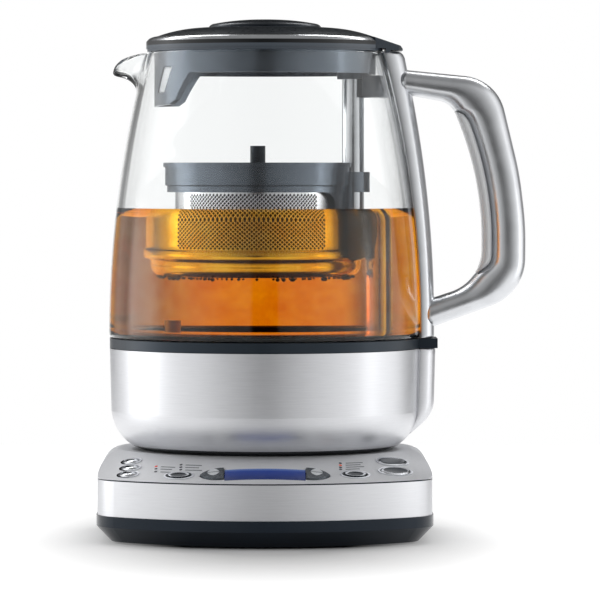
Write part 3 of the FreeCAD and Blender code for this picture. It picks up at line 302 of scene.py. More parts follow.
def brushed(name, dark, light, stretch, roughness=0.4, anisotropy=0.45, metallic=1.0):
    """Brushed stainless steel; stretch draws the scratches out along the brushing."""
    material, tree, shader = start_material(
        name, {"Metallic": metallic, "Anisotropic": anisotropy, "Anisotropic Rotation": 0.25}
    )
    lines = grain(tree, SCRATCH_MM, detail=4, stretch=stretch)
    two_tone(tree, shader, lines, dark, light)
    uneven(tree, shader, lines, roughness * 0.88, roughness * 1.12)
    raise_surface(tree, shader, lines, 0.003, strength=0.6)
    return material


# Level scratches that run round an upright side, and scratches from side to side.
ROUND_GRAIN = (0.03, 0.03, 1)
LONG_GRAIN = (0.02, 1, 1)
# Light satin steel: crisp bands of light side by side, softened up and down.
band_steel = brushed("brushed_stainless_band", "#d4d5d8", "#dcdde0", ROUND_GRAIN)
dress(band_steel, "base_side_band")
# The sloping panel is only partly metal: its pale dull share is a painted sheen that stands in for the light
# it reflects from above, so it looks paler and more even than the band.
panel_steel = brushed(
    "brushed_stainless_painted_sheen", "#e3e4e7", "#ebecef", LONG_GRAIN,
    roughness=0.56, anisotropy=0.2, metallic=0.38,
)
dress(panel_steel, "base_deck")


# ------------ push buttons
# Seven oval ABS caps, moulded and then chromed or lacquered, each in a bright
# thin ring that is snapped into the steel panel.

# The panel rises from its bowed front edge to the round platform behind it.
PANEL_FOOT = 31.4
PANEL_TOP = 42.7
PANEL_ARC = 110.0
PLATFORM_RADIUS = 75.0
BOW_CENTRE = 12.0
PANEL_TAN = (PANEL_TOP - PANEL_FOOT) / (PANEL_ARC - PLATFORM_RADIUS)


def on_panel(x, rho):
    """The frame square to the sloping panel at this x and distance from the bow's centre."""
    turn = math.asin(x / rho)
    spot = Vector((x, BOW_CENTRE - rho * math.cos(turn), PANEL_FOOT + (PANEL_ARC - rho) * PANEL_TAN))
    lean = Matrix.Rotation(math.atan(PANEL_TAN), 4, "X")
    return Matrix.Translation(spot * MM) @ Matrix.Rotation(turn, 4, "Z") @ lean


def place(name, mesh, body, materials, replaced=()):
    """Put a finished mesh in the scene on its body, in the place of the CAD nodes it stands for."""
    piece = bpy.data.objects.new(name, mesh)
    scene.collection.objects.link(piece)
    if not mesh.materials:
        for material in materials if isinstance(materials, tuple) else (materials,):
            mesh.materials.append(material)
    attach(piece, body)
    if replaced:
        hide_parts(*replaced)
    return piece


def mesh_of(form, name):
    """A new mesh made from a finished form."""
    mesh = bpy.data.meshes.new(name)
    form.to_mesh(mesh)
    form.free()
    return mesh


def surface_mesh(name, rings, caps=False, fills=None):
    """A skin over closed rings of points, all of one length; fills gives each band's material."""
    form = bmesh.new()
    grid = [[form.verts.new(p) for p in ring] for ring in rings]
    count = len(grid[0])
    for band, (below, above) in enumerate(zip(grid, grid[1:])):
        for i in range(count):
            j = (i + 1) % count
            face = form.faces.new((below[i], below[j], above[j], above[i]))
            face.material_index = fills[band] if fills else 0
    if caps:
        form.faces.new(list(reversed(grid[0])))
        form.faces.new(grid[-1]).material_index = fills[-1] if fills else 0
    for face in form.faces:
        face.smooth = len(face.verts) == 4
    return mesh_of(form, name)


def place_solid(name, rings, body, materials, replaced=(), fills=None):
    """Put a skin over rings in the scene, closed at both ends."""
    place(name, surface_mesh(name, rings, caps=True, fills=fills), body, materials, replaced)


CLOUD_MM = 9


def chromed(name, dark, light, roughness):
    """Polished or plated metal, with faint clouding from the polishing."""
    material, tree, shader = start_material(name, {"Metallic": 1.0})
    cloud = grain(tree, CLOUD_MM, detail=2)
    two_tone(tree, shader, cloud, dark, light)
    uneven(tree, shader, cloud, roughness * 0.94, roughness * 1.08)
    return material


# Bright plating that mirrors the dark screen and the white lights as crisp patches.
bright_chrome = chromed("chromed_abs", "#d8dade", "#e0e2e5", 0.09)
# A dark lacquer on the select keys' dished middles, and a smoky grey one on the large caps; on the small
# caps' domed middles the same dark finish is a painted reflection of the dark screen.
dark_lacquer_and_painted_reflection = moulded("dark_lacquer_and_painted_reflection", "#15181c", "#1d2126", 0.12)
grey_lacquer = moulded("smoky_grey_lacquer", "#3a3f45", "#454b52", 0.2, metallic=0.7)
dress(bright_chrome, "button_bezels")

# Section of each kind of cap, as (share of the radius, height) from the foot to the middle, and the finish of
# each band of it: 0 chrome, 1 dark lacquer (on the small caps a painted reflection of the dark screen), 2
# grey lacquer.
CAP_FINISHES = (bright_chrome, dark_lacquer_and_painted_reflection, grey_lacquer)
CAP_FOOT = [(1.0, -3.4), (1.0, -0.4)]
CAP_SIDES = 72
CAP_SECTIONS = {
    # The small caps are chrome domes; their dark middle is painted reflection of the dark screen.
    "small": ([(0.98, 0.15), (0.92, 0.45), (0.82, 0.7), (0.68, 0.92), (0.5, 1.1), (0.3, 1.22), (0.14, 1.26),
               (0.05, 1.27)], [0] * 6 + [1] * 4),
    "select": ([(0.99, 0.1), (0.93, 0.6), (0.84, 0.85), (0.74, 0.86), (0.66, 0.72), (0.5, 0.5), (0.3, 0.4),
                (0.08, 0.38)], [1] * 4 + [0] * 2 + [1] * 4),
    "upper": ([(0.99, 0.2), (0.95, 0.5), (0.88, 0.68), (0.78, 0.74), (0.6, 0.82), (0.4, 0.87), (0.2, 0.9),
               (0.06, 0.9)], [0] * 3 + [2] * 7),
    "lower": ([(0.99, 0.3), (0.95, 0.72), (0.89, 0.86), (0.82, 0.76), (0.68, 0.62), (0.45, 0.52), (0.2, 0.47),
               (0.06, 0.46)], [0] * 5 + [2] * 5),
}
# Name, x, distance from the bow's centre, length, width and kind of each key.
BUTTONS = [
    ("small_button_1", -65.6, 86.5, 10.0, 6.4, "small"),
    ("small_button_2", -65.8, 94.2, 10.0, 6.4, "small"),
    ("small_button_3", -66.6, 102.0, 10.0, 6.4, "small"),
    ("select_button_left", -41.6, 100.4, 13.0, 7.6, "select"),
    ("select_button_right", 43.6, 99.4, 13.0, 7.6, "select"),
    ("large_button_upper", 62.4, 86.2, 17.6, 9.4, "upper"),
    ("large_button_lower", 63.4, 97.8, 17.6, 9.4, "lower"),
]
for label, x, rho, long, wide, kind in BUTTONS:
    profile, fills = CAP_SECTIONS[kind]
    seat = on_panel(x, rho)
    rings = [
        [
            seat @ (Vector((long / 2 * part * math.cos(a), wide / 2 * part * math.sin(a), high)) * MM)
            for a in (2 * math.pi * i / CAP_SIDES for i in range(CAP_SIDES))
        ]
        for part, high in CAP_FOOT + profile
    ]
    place_solid(f"cap_{label}", rings, label, CAP_FINISHES, (label,), fills)


# ------------ rocker keys, display and lamps
# The rockers are satin grey ABS with arrows printed in pale silver ink; the display
# is a blue-lit panel behind a tinted window; the lamps are clear pins, some lit.

# Satin grey with a little metal flake, so the keys catch a soft light.
rocker_grey = moulded("satin_grey_key", "#4a5056", "#535a60", 0.26, texture_mm=2.0, height_mm=0, metallic=0.6)
dress(rocker_grey, "rocker_left", "rocker_right")
# Pale silver ink, a little raised.
arrow_silver = moulded("pale_silver_ink", "#dcdfe3", "#e8ebee", 0.35)


def flat_piece(name, outlines, thick_mm):
    """Thin plates, each with its outline in the panel's own frame and a thickness above it."""
    form = bmesh.new()
    for seat, outline in outlines:
        low = [form.verts.new(seat @ (Vector((u, v, z)) * MM)) for u, v, z in outline]
        high = [form.verts.new(seat @ (Vector((u, v, z + thick_mm)) * MM)) for u, v, z in outline]
        form.faces.new(list(reversed(low)))
        form.faces.new(high)
        for i, start in enumerate(low):
            j = (i + 1) % len(low)
            form.faces.new((start, low[j], high[j], high[i]))
    return mesh_of(form, name)


def object_axes(tree):
    """The place on the object in metres, with x, y and z as separate outputs."""
    spot = add(tree, "ShaderNodeTexCoord")
    return add(tree, "ShaderNodeSeparateXYZ", {"Vector": spot.outputs["Object"]}).outputs


# Each key has two half lenses, set flat side to flat side.
ARROW_X = 24.9
ARROW_RHO = 96.3
ARROW_FOOT = 0.45
ARROW_THICK = 0.33
HALF_LENS = [(-2.9, 0.45), (2.9, 0.45), (2.2, 2.2), (1.2, 3.6), (0.0, 4.3), (-1.2, 3.6), (-2.2, 2.2)]
for side, label in ((-1, "rocker_left"), (1, "rocker_right")):
    seat = on_panel(side * ARROW_X, ARROW_RHO)
    # The arrows point straight back and forward, so the turn of the panel's own frame is undone.
    turn = -side * math.asin(ARROW_X / ARROW_RHO)
    across, along_key = math.cos(turn), math.sin(turn)
    arrows = [
        (seat, [(way * (u * across - v * along_key), way * (u * along_key + v * across), ARROW_FOOT)
                for u, v in HALF_LENS])
        for way in (1, -1)
    ]
    arrow_mesh = flat_piece(f"{label}_arrows", arrows, ARROW_THICK)
    place(f"{label}_arrows", arrow_mesh, label, arrow_silver)

# Deep blue backlit film that pales towards its upper edge.
DISPLAY_FRONT, DISPLAY_BACK = -0.0913, -0.0779
lit_blue, tree, shader = start_material(
    "blue_lit_display", {"Roughness": 0.12, "IOR": 1.5, "Specular IOR Level": 0.3, "Emission Strength": 0.03}
)
back = rescale(tree, object_axes(tree)["Y"], DISPLAY_FRONT, DISPLAY_BACK)
fade = add(tree, "ShaderNodeValToRGB", {"Fac": back})
glass_blues = fade.color_ramp.elements
glass_blues[0].position, glass_blues[0].color = 0.08, linear("#0b2a74")
glass_blues[1].position, glass_blues[1].color = 0.80, linear("#1a42a6")
paler = glass_blues.new(0.97)
paler.color = linear("#6a8ace")
tree.links.new(fade.outputs["Color"], shader.inputs["Base Color"])
tree.links.new(fade.outputs["Color"], shader.inputs["Emission Color"])
dress(lit_blue, "display_window", "display_module")

# Clear lamp pins: the one at the back left is lit red and one on the right orange.
lamp_lens, tree, shader = start_material(
    "lamp_lens", {"Roughness": 0.2, "IOR": 1.49, "Emission Strength": 0.25}
)
axes = object_axes(tree)
LIT_LAMPS = [((-0.053, -0.0611), "#d8402c"), ((0.0366, -0.0670), "#e0603a")]
LAMP_REACH = 0.0012
colour = linear("#3d3f43")
for (x, y), lit in LIT_LAMPS:
    near_x = add(tree, "ShaderNodeMath", {0: axes["X"], 1: x, 2: LAMP_REACH}, operation="COMPARE")
    near_y = add(tree, "ShaderNodeMath", {0: axes["Y"], 1: y, 2: LAMP_REACH}, operation="COMPARE")
    here = add(tree, "ShaderNodeMath", {0: near_x.outputs[0], 1: near_y.outputs[0]}, operation="MULTIPLY")
    colour = blend(tree, here.outputs[0], colour, linear(lit))
tree.links.new(colour, shader.inputs["Base Color"])
tree.links.new(colour, shader.inputs["Emission Color"])
dress(lamp_lens, "panel_lamps")

# Beside each lamp a plain printed bar stands where a word would be: x of its
# left end, distance from the bow's centre, and length.
LEGENDS = [(-51.2, rho, length) for rho, length in ((90.3, 8.2), (93.1, 6.6), (96.5, 7.6))]
LEGENDS += [(-38.9, rho, length) for rho, length in ((87.0, 8.6), (90.0, 7.2), (93.1, 8.8))]
LEGENDS += [(38.6, rho, length) for rho, length in ((84.8, 9.6), (87.3, 8.4), (89.8, 10.2), (92.3, 7.8))]
BAR_HALF, BAR_FOOT, BAR_THICK = 0.42, 0.01, 0.05
bars = [
    (on_panel(x + length / 2, rho),
     [(u * length / 2, v * BAR_HALF, BAR_FOOT) for u, v in ((-1, -1), (1, -1), (1, 1), (-1, 1))])
    for x, rho, length in LEGENDS
]
# Flat grey ink, matt beside the steel.
grey_ink = moulded("printed_grey_ink", "#6f7276", "#7b7e82", 0.5)
place("legend_bars", flat_piece("legend_bars", bars, BAR_THICK), "base", grey_ink)


# ------------ boards and connector inside the base
# Glass-fibre boards with moulded components, and a nylon plug with tinned brass
# contacts that stands up into the jug.

# Green solder lacquer, half gloss.
board_green = moulded("fibreglass_board", "#1d4a2c", "#23573a", 0.4)
dress(board_green, "control_board", "power_board")
# Black moulding compound and nylon, dull and near alike.
case_black = moulded("component_case", "#17181a", "#1c1d1f", 0.45)
dress(case_black, "tact_switches", "power_board_parts")
connector_black = moulded("nylon_connector", "#101112", "#151617", 0.35)
dress(connector_black, "power_connector")
# Pale yellow metal, a little dulled.
contact_brass = moulded("tinned_brass", "#b8975a", "#c9a86a", 0.25, metallic=1.0)
dress(contact_brass, "connector_contacts", "socket_contacts")


# ------------ jug body
# A deep-drawn steel shell over the heater, brushed round the jug, closed below by
# black polypropylene and above by a dark silicone band that seals the glass.

# The same light satin steel as the base's band, with its scratches running round.
jug_steel = brushed("brushed_stainless_jug", "#d4d5d8", "#dcdde0", ROUND_GRAIN)
dress(jug_steel, "jug_steel_shell")
# Black and grey polypropylene: the one lost in shade, the other plain and dull.
underside = moulded("moulded_black_pp", "#0b0c0d", "#101112", 0.3)
dress(underside, "jug_bottom_cover")
structural_pp = moulded("structural_grey_pp", "#6c6d6f", "#757678", 0.5)
dress(structural_pp, "jug_inner_frame", "lift_gearbox", "magnet_carriage")
# Blue-black silicone, a soft dark line under the glass.
seal_silicone = moulded("moulded_dark_silicone", "#262d33", "#2d343b", 0.32)
dress(seal_silicone, "band_seal", "post_seal")
# Plain and heated steel, clearly darker than the shell.
plate_steel = brushed("brushed_heater_plate", "#9a9a9c", "#a8a8aa", ROUND_GRAIN, roughness=0.35)
dress(plate_steel, "heater_plate", "heat_sensors", "lead_screw")
# Scale-brown sheath and cloudy zinc.
element_sheath = moulded("scaled_element_sheath", "#5b5754", "#6d6a68", 0.4, metallic=0.9)
dress(element_sheath, "heating_element")
can_zinc = moulded("zinc_plated_can", "#8f9195", "#9ea0a4", 0.35, metallic=1.0)
dress(can_zinc, "lift_motor", "carriage_magnets", "basket_magnets")


# ------------ lift post and its bracket
# A polished stainless tube that hides the lift screw, held at the top by a
# moulded bracket that is screwed through the glass to the handle.

# Mirror bright: it shows the lights as upright lines.
post_steel = chromed("polished_stainless_tube", "#d4d6d9", "#dcdee1", 0.14)
dress(post_steel, "post_tube")
# Grey polypropylene filled with mica, which gives it a metallic sheen.
bracket_grey = moulded("mica_grey_pp_dark", "#454c54", "#4d555d", 0.3, metallic=0.6)
dress(bracket_grey, "post_bracket")


# ------------ jug glass
# Blown borosilicate, 3 mm thick, with a beak pulled out of the softened rim.


def clear_glass(name, tint, ior):
    """Clear glass that lets lamp light through, so that what it holds is lit."""
    material, tree, shader = start_material(
        name,
        {"Base Color": linear(tint), "Roughness": 0.0, "IOR": ior, "Transmission Weight": 1.0,
         "Specular Tint": linear("#c4c6c8")},
    )
    path = add(tree, "ShaderNodeLightPath")
    clear = add(tree, "ShaderNodeBsdfTransparent", {"Color": linear(tint)})
    pick = add(
        tree,
        "ShaderNodeMixShader",
        {0: path.outputs["Is Shadow Ray"], 1: shader.outputs[0], 2: clear.outputs[0]},
    )
    out = tree.nodes["Material Output"]
    tree.links.new(pick.outputs[0], out.inputs["Surface"])
    return material, tree, shader, out


# The waist is (height, radius); above it the wall follows a long arc to the rim.
GLASS_FOOT = 98.3
GLASS_WAIST = (100.0, 78.0)
GLASS_ARC = 540.0
GLASS_RIM = 240.8
GLASS_WALL = 3.0
# The beak begins at this height, its tip is (distance from the axis, height), and
# the rim sags a little beside it.
BEAK_START = 221.0
BEAK_TIP = (76.3, 228.6)
BEAK_SAG = 1.9
BEAK_HALF_ANGLE = math.radians(17.5)


def wall_radius(z):
    """The outer wall's radius: straight up at the waist, then an arc inwards."""
    height, radius = GLASS_WAIST
    return radius - GLASS_ARC + math.sqrt(GLASS_ARC**2 - (z - height) ** 2)


def glass_point(turn, share):
    """A point of the outer wall: turn is the angle from the beak, share runs from foot to rim."""
    off = abs(math.atan2(math.sin(turn), math.cos(turn)))
    narrow = max(0.0, 1 - off / BEAK_HALF_ANGLE) ** 1.7
    reach = math.sin(math.pi / 2 * narrow)
    drop = 1 - math.cos(math.pi / 2 * narrow)
    rim = GLASS_RIM - (GLASS_RIM - BEAK_TIP[1]) * drop - BEAK_SAG * math.sin(math.pi * reach)
    z = GLASS_FOOT + (rim - GLASS_FOOT) * share
    radius = wall_radius(z)
    if z > BEAK_START:
        # The wall leans out gently at first, and its lip turns out sharply.
        climb = (z - BEAK_START) / (rim - BEAK_START)
        flare = 0.62 * climb**1.75 + 0.38 * climb**10
        radius += (BEAK_TIP[0] - wall_radius(rim)) * reach * flare
    angle = math.pi + turn
    return Vector((radius * math.cos(angle), radius * math.sin(angle), z)) * MM


# The wall's mesh is finer within this angle of the beak and above this share of the height.
FINE_TURN = 20
FINE_SHARE = 0.84
turns = [math.radians(FINE_TURN) * (i / 28) for i in range(-28, 29)]
turns += [math.radians(FINE_TURN + (360 - 2 * FINE_TURN) * i / 120) for i in range(1, 120)]
levels = [FINE_SHARE * i / 26 for i in range(27)]
levels += [FINE_SHARE + (1 - FINE_SHARE) * i / 26 for i in range(1, 27)]
glass_mesh = surface_mesh("jug_glass_wall", [[glass_point(t, level) for t in turns] for level in levels])
# Water-clear, with a faint grey-green cast where the light runs along the wall.
borosilicate = clear_glass("blown_borosilicate", "#fafbfb", 1.47)[0]
glass = place("jug_glass_wall", glass_mesh, "jug", borosilicate, ("jug_glass",))
wall = glass.modifiers.new("wall", "SOLIDIFY")
wall.thickness = GLASS_WALL * MM
wall.offset = -1
soft = glass.modifiers.new("soft", "SUBSURF")
soft.levels = soft.render_levels = 1


# ------------ tea
# About 1.1 litres of freshly brewed black tea, amber and clouded, poured in up to
# just under the basket's collar.

TEA_LEVEL = 163.0
TEA_FOOT = 98.6
TEA_INTO_WALL = 0.25
TEA_SIDES = 128
tea_rings = []
for z in [TEA_FOOT + (TEA_LEVEL - TEA_FOOT) * i / 12 for i in range(13)]:
    r = wall_radius(z) - GLASS_WALL + TEA_INTO_WALL
    tea_rings.append([
        Vector((r * math.cos(a), r * math.sin(a), z)) * MM
        for a in (2 * math.pi * i / TEA_SIDES for i in range(TEA_SIDES))
    ])
brewed, tree, shader, out = clear_glass("brewed_black_tea", "#ffffff", 1.33)
# Amber, with clouds of warmer tea.
CLOUDS_MM = 15
cloud = grain(tree, CLOUDS_MM, detail=4)
two_tone(tree, shader, cloud, "#e6b366", "#ffffff")
TEA_PASSES = (0.969, 0.817, 0.032, 1)
absorb = add(tree, "ShaderNodeVolumeAbsorption", {"Color": TEA_PASSES, "Density": 55.0})
tree.links.new(absorb.outputs[0], out.inputs["Volume"])
place_solid("brewed_tea", tea_rings, "jug", brewed)


# ------------ spine
# A die-cast rail, satin chromed, that fills the gap between glass and handle and
# runs on down the steel body as a pressed rib.

SPINE_HALF = 13.0
SPINE_GAP = 0.25
# The rail's outer edge below and above its long arc, as (height, distance from the axis).
RAIL_FOOT = [(98.6, 84.6), (116, 84.5)]
RAIL_HEAD = [(232, 71.0), (238, 69.8), (241, 68.2)]
# An arc of 594 mm radius stands this far out from its 116.8 mm chord.
RAIL_BULGE = 116.8**2 / (8 * 594)


def along(table, z):
    """The value at a height, read from a table of (height, value) by straight lines."""
    for (z0, v0), (z1, v1) in zip(table, table[1:]):
        if z <= z1:
            return v0 + (v1 - v0) * (z - z0) / (z1 - z0)
    return table[-1][1]


def rail_ring(z, outer, inner_radius, power=2.5, count=40):
    """A level section: a rounded outer side, and an inner side that follows the jug's wall."""
    start = math.sqrt(inner_radius**2 - SPINE_HALF**2)
    ring = []
    for i in range(count + 1):
        a = math.pi * i / count - math.pi / 2
        bulge = abs(math.cos(a)) ** (2 / power)
        y = SPINE_HALF * math.copysign(abs(math.sin(a)) ** (2 / power), a)
        ring.append(Vector((start + (outer - start) * bulge, y, z)) * MM)
    for i in range(1, 16):
        y = SPINE_HALF * (1 - 2 * i / 16)
        ring.append(Vector((math.sqrt(inner_radius**2 - y * y), y, z)) * MM)
    return ring


def spine_edge(z):
    """The rail's outer edge in side view."""
    (low, first), (high, last) = RAIL_FOOT[-1], RAIL_HEAD[0]
    if z < low:
        return along(RAIL_FOOT, z)
    if z < high:
        t = (z - low) / (high - low)
        return first + (last - first) * t + 4 * t * (1 - t) * RAIL_BULGE
    return along(RAIL_HEAD, z)


# Both ends are drawn in a little, so that their edges are soft.
heights = [98.6, 98.9, 99.6] + [101 + 3.5 * i for i in range(39)] + [236, 238, 239.6, 240.6, 241.0]
shrink = {98.6: 0.7, 98.9: 0.25, 240.6: 0.5, 241.0: 1.3}
rings = [
    rail_ring(z, spine_edge(z) - shrink.get(z, 0), wall_radius(min(z, GLASS_RIM)) + SPINE_GAP)
    for z in heights
]
# Satin chrome: soft white bands between grey edges.
handle_silver = chromed("satin_chrome_casting", "#d3d5d8", "#dbdde0", 0.3)
place_solid("spine_rail", rings, "jug", handle_silver, ("spine",))

# The steel body's side as (height, radius), the centre and radius of its lower corner,
# and the rib's outer edge as (height, distance from the axis).
SHELL_SIDE = [(62.0, 76.8), (93.2, 77.6)]
SHELL_CORNER = (55.0, 65.8)
CORNER_RADIUS = 22.2
RIB_EDGE = [
    (50.8, 72.9), (53, 75.6), (55, 78.0), (57.5, 80.6), (60, 82.5), (63, 83.9), (66, 84.5), (93.2, 85.2),
]
RIB_SINK = 0.1
RIB_TOP_STEP = 0.4
rib_heights = [50.8, 51.6, 53, 55, 57.5, 60, 63, 66, 70, 75, 80, 85, 90, 92.6, 93.2]


def shell_radius(z):
    """The steel body's side, and the rounded corner under it."""
    if z >= SHELL_SIDE[0][0]:
        return along(SHELL_SIDE, z)
    return SHELL_CORNER[0] + math.sqrt(CORNER_RADIUS**2 - (z - SHELL_CORNER[1]) ** 2)


rings = [
    rail_ring(z, along(RIB_EDGE, z) - (RIB_TOP_STEP if z > 93 else 0), shell_radius(z) - RIB_SINK)
    for z in rib_heights
]
place_solid("spine_rib", rings, "jug", jug_steel, ("spine_lower_cover",))


# ------------ handle
# A hollow zinc casting with a crowned section, satin chromed, and a separate
# bright insert along the side that the fingers hold.


def bend(points, radii, steps):
    """Points along a path whose inner corners are rounded; each corner gets its own steps."""
    path = [Vector(points[0])]
    for before, corner, after, radius in zip(points, points[1:], points[2:], radii):
        corner = Vector(corner)
        to_before = (Vector(before) - corner).normalized()
        to_after = (Vector(after) - corner).normalized()
        half = math.acos(max(-1, min(1, to_before.dot(to_after)))) / 2
        reach = radius / math.tan(half)
        centre = corner + (to_before + to_after).normalized() * (radius / math.sin(half))
        first, last = corner + to_before * reach - centre, corner + to_after * reach - centre
        swing = first.angle_signed(last)
        for i in range(steps + 1):
            spoke = first.copy()
            spoke.rotate(Matrix.Rotation(-swing * i / steps, 2))
            path.append(centre + spoke)
    return path + [Vector(points[-1])]


def walk(path, count):
    """Evenly spaced points along a path, both ends among them."""
    lengths = [0.0]
    for a, b in zip(path, path[1:]):
        lengths.append(lengths[-1] + (b - a).length)
    spaced, index = [], 0
    for i in range(count + 1):
        want = lengths[-1] * i / count
        while index < len(path) - 2 and lengths[index + 1] < want:
            index += 1
        gap = lengths[index + 1] - lengths[index]
        spaced.append(path[index].lerp(path[index + 1], (want - lengths[index]) / gap if gap else 0))
    return spaced


# The handle's outer and inner side in side view, as (distance from the axis, height).
CORNER_STEPS = 16
OUTER_LINE = bend(
    [(80, 102.35), (130, 120.45), (130.2, 155), (127.2, 180), (115.8, 227.4), (68, 232.2)],
    [25, 150, 150, 22.5], CORNER_STEPS,
)
INNER_LINE = bend(
    [(80, 116.9), (108.3, 126.3), (108.3, 176), (93.2, 215.5), (68, 220.05)], [22, 156, 11], CORNER_STEPS
)


STRETCH_STEPS = (8, 14, 30, 14, 10)


def in_step(line, corners):
    """The path cut at its first and last corners, so that both sides keep pace round them."""
    first, last = 1, 1 + (corners - 1) * (CORNER_STEPS + 1)
    cuts = (0, first, first + CORNER_STEPS, last, last + CORNER_STEPS, len(line) - 1)
    stations = []
    for start, end, steps in zip(cuts, cuts[1:], STRETCH_STEPS):
        stations = stations[:-1] + walk(line[start:end + 1], steps)
    return stations


outer_line, inner_line = in_step(OUTER_LINE, 4), in_step(INNER_LINE, 3)


def crowned_ring(inner, outer, half_width, power, count=56):
    """A section across the handle, square to its run, as a rounded rectangle without flats."""
    middle, arm = (inner + outer) / 2, (outer - inner) / 2
    ring = []
    for i in range(count):
        a = 2 * math.pi * i / count
        u = math.copysign(abs(math.cos(a)) ** (2 / power), math.cos(a))
        v = math.copysign(abs(math.sin(a)) ** (2 / power), math.sin(a))
        spot = middle + arm * u
        ring.append(Vector((spot.x, half_width * v, spot.y)) * MM)
    return ring


# The insert begins and ends at these stations; there the casting steps back to make room for it.
INSERT_FIRST, INSERT_LAST = 15, 55
INSERT_EASE = 5
INSERT_DEPTH = 5.0
INSERT_OVERLAP = 0.9
INSERT_BACK = 0.4
INSERT_END_HALF, INSERT_HALF = 6.0, 10.9
CASTING_HALF = 12.0
casting, insert = [], []
for i, (inner, outer) in enumerate(zip(inner_line, outer_line)):
    across = (outer - inner).normalized()
    ease = max(0.0, min(1.0, (i - INSERT_FIRST) / INSERT_EASE, (INSERT_LAST - i) / INSERT_EASE))
    ease = ease * ease * (3 - 2 * ease)
    stepped = inner + across * (INSERT_DEPTH - INSERT_OVERLAP) * ease
    casting.append(crowned_ring(stepped, outer, CASTING_HALF, 2.5))
    if INSERT_FIRST + 1 <= i <= INSERT_LAST - 1:
        backed = inner + across * (INSERT_DEPTH * ease + INSERT_BACK)
        half = INSERT_END_HALF + (INSERT_HALF - INSERT_END_HALF) * ease
        insert.append(crowned_ring(inner, backed, half, 2.4))
place_solid("handle_casting", casting, "jug", handle_silver, ("handle_shell",))
# Pale silver ABS, smoother and whiter than the casting round it.
bright_insert = moulded(
    "satin_silver_abs", "#f1f2f4", "#f7f8f9", 0.22, texture_mm=2.0, height_mm=0, tint="#ffffff"
)
place_solid("handle_insert", insert, "jug", bright_insert, ("handle_grip",))


# ------------ brewing basket
# A spun steel cup, punched with diamond holes front and back, hung in a mica-filled
# polypropylene collar that slides on the post.

# Grey with a metallic sheen that goes dark where it faces the dark screen.
collar_grey = moulded(
    "mica_grey_pp", "#646c75", "#6e767f", 0.22, texture_mm=2.5, height_mm=0, metallic=0.85
)
dress(collar_grey, "basket_collar", "basket_lid")
# Black, with a narrow highlight down its side.
knob_black = moulded("moulded_black_knob", "#050506", "#08080a", 0.3)
dress(knob_black, "basket_knob")

CUP_X = -3.6
CUP_RADIUS = 41.4
CUP_WALL = 0.8
POST_X = 44.0
NOTCH_RADIUS = 8.8
# Each of the two punched panels is a grid of square cells, with a diamond over every
# side that two cells share.
HALF_CELL = 1.025
CELL_ROWS = 14
PANEL_CELLS = 35
PANEL_LOW = 141.9
CELL_TURN = HALF_CELL / CUP_RADIUS
PANEL_STARTS = (math.radians(-144), math.radians(44))


def cup_reach(turn, radius):
    """The cup's radius at an angle, drawn in where the post's sleeve runs past it."""
    off = math.atan2(math.sin(turn), math.cos(turn))
    away = POST_X - CUP_X
    inside = NOTCH_RADIUS**2 - (away * math.sin(off)) ** 2
    return min(radius, away * math.cos(off) - math.sqrt(inside)) if inside > 0 and abs(off) < 1 else radius


form = bmesh.new()
punched = form.faces.layers.bool.new("punched")
cup_points = {}


def cup_vert(turn, z, radius=CUP_RADIUS):
    """The cup's vertex at an angle and a height, made once and then shared."""
    key = (round(turn % (2 * math.pi), 5), round(z, 3), radius)
    if key not in cup_points:
        r = cup_reach(turn, radius)
        spot = Vector((CUP_X + r * math.cos(turn), r * math.sin(turn), z))
        cup_points[key] = form.verts.new(spot * MM)
    return cup_points[key]


panel_turns = [[start + 2 * CELL_TURN * i for i in range(PANEL_CELLS + 1)] for start in PANEL_STARTS]
gap_ends = (
    (panel_turns[0][-1], panel_turns[1][0], 44), (panel_turns[1][-1], panel_turns[0][0] + 2 * math.pi, 30),
)
gaps = [[start + (end - start) * i / count for i in range(1, count)] for start, end, count in gap_ends]
cup_turns = panel_turns[0] + gaps[0] + panel_turns[1] + gaps[1]
level_step = 2 * HALF_CELL
panel_levels = [PANEL_LOW + level_step * j for j in range(CELL_ROWS + 1)]
panel_spans = {
    (round(a, 5), round(b, 5)) for turns_of in panel_turns for a, b in zip(turns_of, turns_of[1:])
}
# The cup's side in section, as (radius, height), from the middle of its floor to its rim.
CUP_PROFILE = [
    (0.0, 128.6), (12.0, 128.6), (24.0, 128.6), (34.0, 128.6), (36.6, 128.6), (37.7, 129.3), (38.7, 130.5),
    (39.3, 132.0), (39.6, 133.6), (39.6, 135.9), (40.3, 136.5), (41.6, 136.9), (42.2, 137.5), (42.2, 140.9),
    (41.7, 141.5), (CUP_RADIUS, PANEL_LOW),
]
CUP_PROFILE += [(CUP_RADIUS, z) for z in panel_levels[1:]] + [(CUP_RADIUS, z) for z in (174.5, 178.5, 182.0)]
pairs = list(zip(cup_turns, cup_turns[1:] + cup_turns[:1]))
for (r0, z0), (r1, z1) in zip(CUP_PROFILE, CUP_PROFILE[1:]):
    in_panel = r0 == r1 == CUP_RADIUS and z1 <= panel_levels[-1] + 0.01
    for a, b in pairs:
        if in_panel and (round(a, 5), round(b, 5)) in panel_spans:
            continue
        corners = [cup_vert(a, z0, r0), cup_vert(b, z0, r0), cup_vert(b, z1, r1), cup_vert(a, z1, r1)]
        if r0 == 0:
            corners = [cup_vert(0, z0, 0.0)] + corners[2:]
        form.faces.new(corners)
